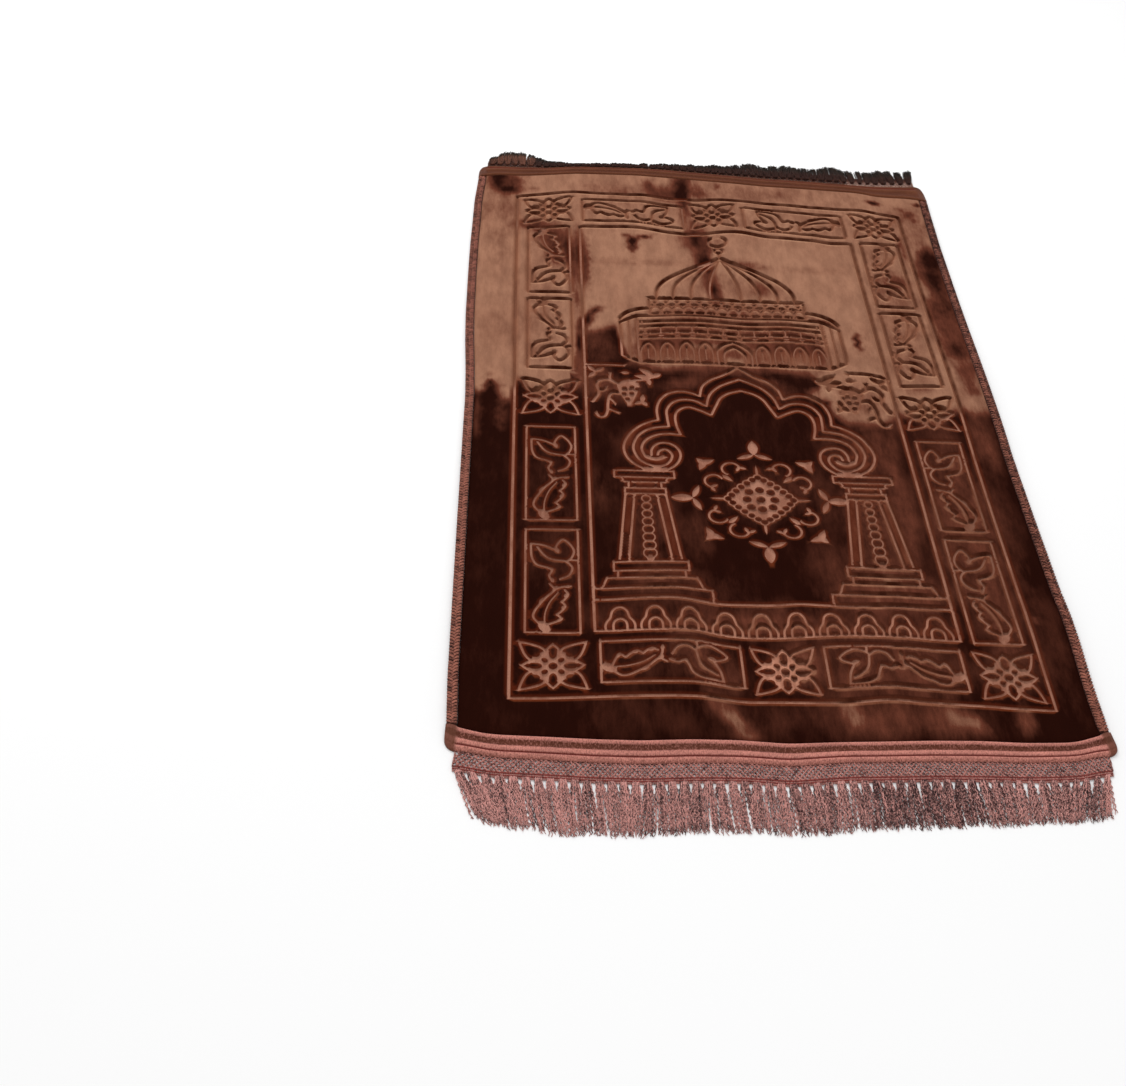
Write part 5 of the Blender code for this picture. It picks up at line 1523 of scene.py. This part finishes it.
class RUG_OT_tassels(bpy.types.Operator):
    """Make the combed tassels of the near fringe and the crimped ones of the far fringe"""

    bl_idname = "rug.tassels"
    bl_label = "Tassels"

    def execute(self, context):
        tassel = context.scene.rug_tassel
        dusky = {"share": (0.75, 1.0), "most": 0.25, "colour": tassel.near_dark}
        # the far fringe's roots fade to a redder colour than its tips
        reddish_roots = {"share": (0.72, 0.25), "most": 0.6, "colour": tassel.far_root}
        near_finish = yarn_finish("near_tassel_yarn", tassel.near_light, tassel.near_dark, fade=dusky,
                                  fleck=0.62)
        # the far fringe takes a copy of the yarn in painted shade
        far_finish = yarn_finish("shaded_far_tassel_yarn", tassel.shaded_far_light, tassel.shaded_far_dark, sheen=0.04, fade=reddish_roots,
                                 pale=tassel.far_brown)
        finishes = {-1: near_finish, 1: far_finish}
        pitch = HEADING_LENGTH / TASSELS
        for end, word in ENDS.items():
            near = end < 0
            strands = tassel.near_strands if near else tassel.far_strands
            crimp = tassel.near_crimp if near else tassel.far_crimp
            wave = CRIMP_LENGTH[end]
            root = TASSEL_ROOT_Y - 1.2 * MM if near else TAPE_EDGE_Y + FAR_ROOT
            s = np.linspace(0, 1, STRAND_POINTS[end])
            rng = np.random.default_rng(71 + end)
            paths, radii, shades = [], [], []
            for k in range(TASSELS):
                middle = pitch * (k + 0.5) - HEADING_LENGTH / 2
                splay = rng.uniform(0.85, 1.2)
                twist = rng.normal(0, tassel.stray) * (1 - 0.8 * abs(middle) / (HEADING_LENGTH / 2))
                trimmed = rng.uniform(0.95, 1.0) if near else rng.uniform(0.70, 1.0)
                hue = rng.normal(0, 0.08)
                if near:
                    trimmed = trimmed * float(between(NEAR_TRIM, middle / MM))
                    # painted shade on the near fringe, by where across the rug
                    hue = hue - float(between(DUSK, middle / MM))
                wild = 2.4 if near and middle > 0.46 * HEADING_LENGTH else 1.0
                sparse = float(smooth(215 * MM, 245 * MM, middle))
                root_half = ROOT_HALF * (1 - 0.25 * sparse)
                far_halves = (root_half, (0.56 - 0.12 * sparse) * pitch, (0.48 - 0.06 * sparse) * pitch)
                brown = 0 if near else float(smooth(-255 * MM, -270 * MM, middle))
                for j in range(strands):
                    u = 2 * (j + 0.5) / strands - 1
                    layer = (j * 7 % 5) / 4
                    uneven = rng.uniform(0.86, 1.0) if near else rng.uniform(0.74, 1.0) * (1 - 0.10 * abs(u))
                    tip = TASSEL_ROOT_Y + TASSEL_REACH[end] * trimmed * uneven - 0.3 * MM
                    length = tip - root
                    phase = rng.uniform(0, 2 * math.pi)
                    astray = rng.normal(0, 2.0 * MM * wild)
                    if near:
                        spread = root_half * u + (0.66 * pitch * splay * u + astray - root_half * u) * s**0.74
                    else:
                        spread = splay * u * np.interp(s, (0, 0.5, 1), far_halves) + 0.8 * astray * s
                    waves = 2 * math.pi * s * length / wave
                    ripples = crimp * np.sin(waves + phase) * smooth(0, 0.25, s)
                    x = middle + spread + twist * s + lock_sway(end, middle, s) + ripples
                    y = root + s * length
                    droop = (0.75 + 1.9 * layer) * MM * (1 - 0.55 * s)
                    droop = droop + 0.5 * MM * np.sin(math.pi * s) * layer
                    if not near:
                        droop = droop + 2.2 * MM * (1 - smooth(0.3, 0.9, s))
                    z = np.maximum(0.62 * MM, droop + 0.5 * crimp * np.cos(waves + 1.7 * phase))
                    paths.append(np.column_stack([x, end * y, z]))
                    radii.append(tassel.yarn * (1 - 0.35 * smooth(0.8, 1.0, s)))
                    # painted shade: the strands of the lowest layer, under the others, are darker, and hue
                    # carries the fringe's painted shade by place
                    shades.append(np.clip(rng.normal(0.62, 0.26) + hue - 0.3 * (layer == 0), 0, 1) + brown)
            yarn_piece(f"tassels_{word}", f"fringe_{word}", finishes[end], tubes(paths, radii, 3, shades))
        return {"FINISHED"}


# ---------------------------------------------------------------- the stage

VIEW = {"place": (-0.29877, -1.47401 + MIDDLE_Y, 1.17826), "pitch": 44.240, "yaw": 3.347, "roll": 3.791,
        "lens": 46.06}
FLOOR_REACH = 12.0


def view_matrix():
    """Where the camera stands: it looks along +Y and down, turned a little to the right and tilted."""
    pitch, yaw, roll = (math.radians(VIEW[key]) for key in ("pitch", "yaw", "roll"))
    ahead = Vector((math.sin(yaw) * math.cos(pitch), math.cos(yaw) * math.cos(pitch), -math.sin(pitch)))
    right = Vector((math.cos(yaw), -math.sin(yaw), 0))
    up = right.cross(ahead)
    tilted_right = right * math.cos(roll) + up * math.sin(roll)
    tilted_up = up * math.cos(roll) - right * math.sin(roll)
    made = Matrix((tilted_right, tilted_up, -ahead)).transposed().to_4x4()
    made.translation = Vector(VIEW["place"])
    return made


def soft_light(name, place, size_x, size_y, power):
    """A large light that faces the middle of the rug."""
    data = bpy.data.lights.new(name, "AREA")
    data.shape = "RECTANGLE"
    data.size, data.size_y, data.energy = size_x, size_y, power
    light = bpy.data.objects.new(name, data)
    light.location = place
    light.rotation_euler = (-Vector(place)).to_track_quat("-Z", "Y").to_euler()
    bpy.context.scene.collection.objects.link(light)


class RUG_OT_stage(bpy.types.Operator):
    """Make the plain pale floor, the soft lights and the camera"""

    bl_idname = "rug.stage"
    bl_label = "Stage"

    def execute(self, context):
        scene, stage = context.scene, context.scene.rug_stage
        scene.view_settings.view_transform = "Standard"
        floor_mesh = bpy.data.meshes.new("floor")
        corners = [(x * FLOOR_REACH, y * FLOOR_REACH, 0) for x, y in ((-1, -1), (1, -1), (1, 1), (-1, 1))]
        floor_mesh.from_pydata(corners, [], [(0, 1, 2, 3)])
        floor = bpy.data.objects.new("floor", floor_mesh)
        scene.collection.objects.link(floor)
        f = Finish("floor_paint")
        f.shade(Base_Color=(*stage.floor, 1), Roughness=0.9, Specular_IOR_Level=0.1)
        floor_mesh.materials.append(f.material)

        world = bpy.data.worlds.new("studio")
        world.use_nodes = True
        sky = world.node_tree.nodes["Background"].inputs
        sky["Color"].default_value = (1, 1, 1, 1)
        sky["Strength"].default_value = stage.sky
        scene.world = world
        soft_light("key_light", (-0.9, 1.6, 2.2), 1.4, 1.4, stage.key)
        soft_light("fill_light", (0.6, -2.2, 2.4), 2.0, 1.2, stage.fill)

        data = bpy.data.cameras.new("camera")
        data.lens, data.sensor_width = VIEW["lens"], 36.0
        data.clip_start, data.clip_end = 0.05, 50
        camera = bpy.data.objects.new("camera", data)
        camera.matrix_world = view_matrix()
        scene.collection.objects.link(camera)
        scene.camera = camera
        return {"FINISHED"}


OPERATORS = (RUG_OT_stage, RUG_OT_velour, RUG_OT_braids, RUG_OT_tapes, RUG_OT_nets, RUG_OT_tassels)
SETTINGS = {
    "rug_velour": VelourSettings,
    "rug_braid": BraidSettings,
    "rug_tape": TapeSettings,
    "rug_net": NetSettings,
    "rug_tassel": TasselSettings,
    "rug_stage": StageSettings,
}


class RUG_PT_panel(bpy.types.Panel):
    """Lists the rug's pieces and their settings"""

    bl_idname = "RUG_PT_panel"
    bl_label = "Prayer rug"
    bl_space_type = "VIEW_3D"
    bl_region_type = "UI"
    bl_category = "Rug"

    def draw(self, context):
        for operator in OPERATORS:
            self.layout.operator(operator.bl_idname)
        for key, group in SETTINGS.items():
            box = self.layout.box()
            for name in group.__annotations__:
                box.prop(getattr(context.scene, key), name)


def register():
    for group in (*SETTINGS.values(), *OPERATORS, RUG_PT_panel):
        bpy.utils.register_class(group)
    for key, group in SETTINGS.items():
        setattr(bpy.types.Scene, key, PointerProperty(type=group))


def unregister():
    for key in SETTINGS:
        delattr(bpy.types.Scene, key)
    for group in (RUG_PT_panel, *reversed(OPERATORS), *SETTINGS.values()):
        bpy.utils.unregister_class(group)


def declare_cloth():
    """Lists the pieces sewn to the pile cloth, the rug's one sheet; nothing is done with the list."""
    sewn = [f"braid_{word}" for word in SIDES.values()]
    sewn += [f"{piece}_{word}" for word in ENDS.values() for piece in ("tape", "net", "cord_line", "tassels")]


def main():
    register()
    for operator in OPERATORS:
        group, name = operator.bl_idname.split(".")
        getattr(getattr(bpy.ops, group), name)()
    declare_cloth()


if __name__ == "__main__":
    main()
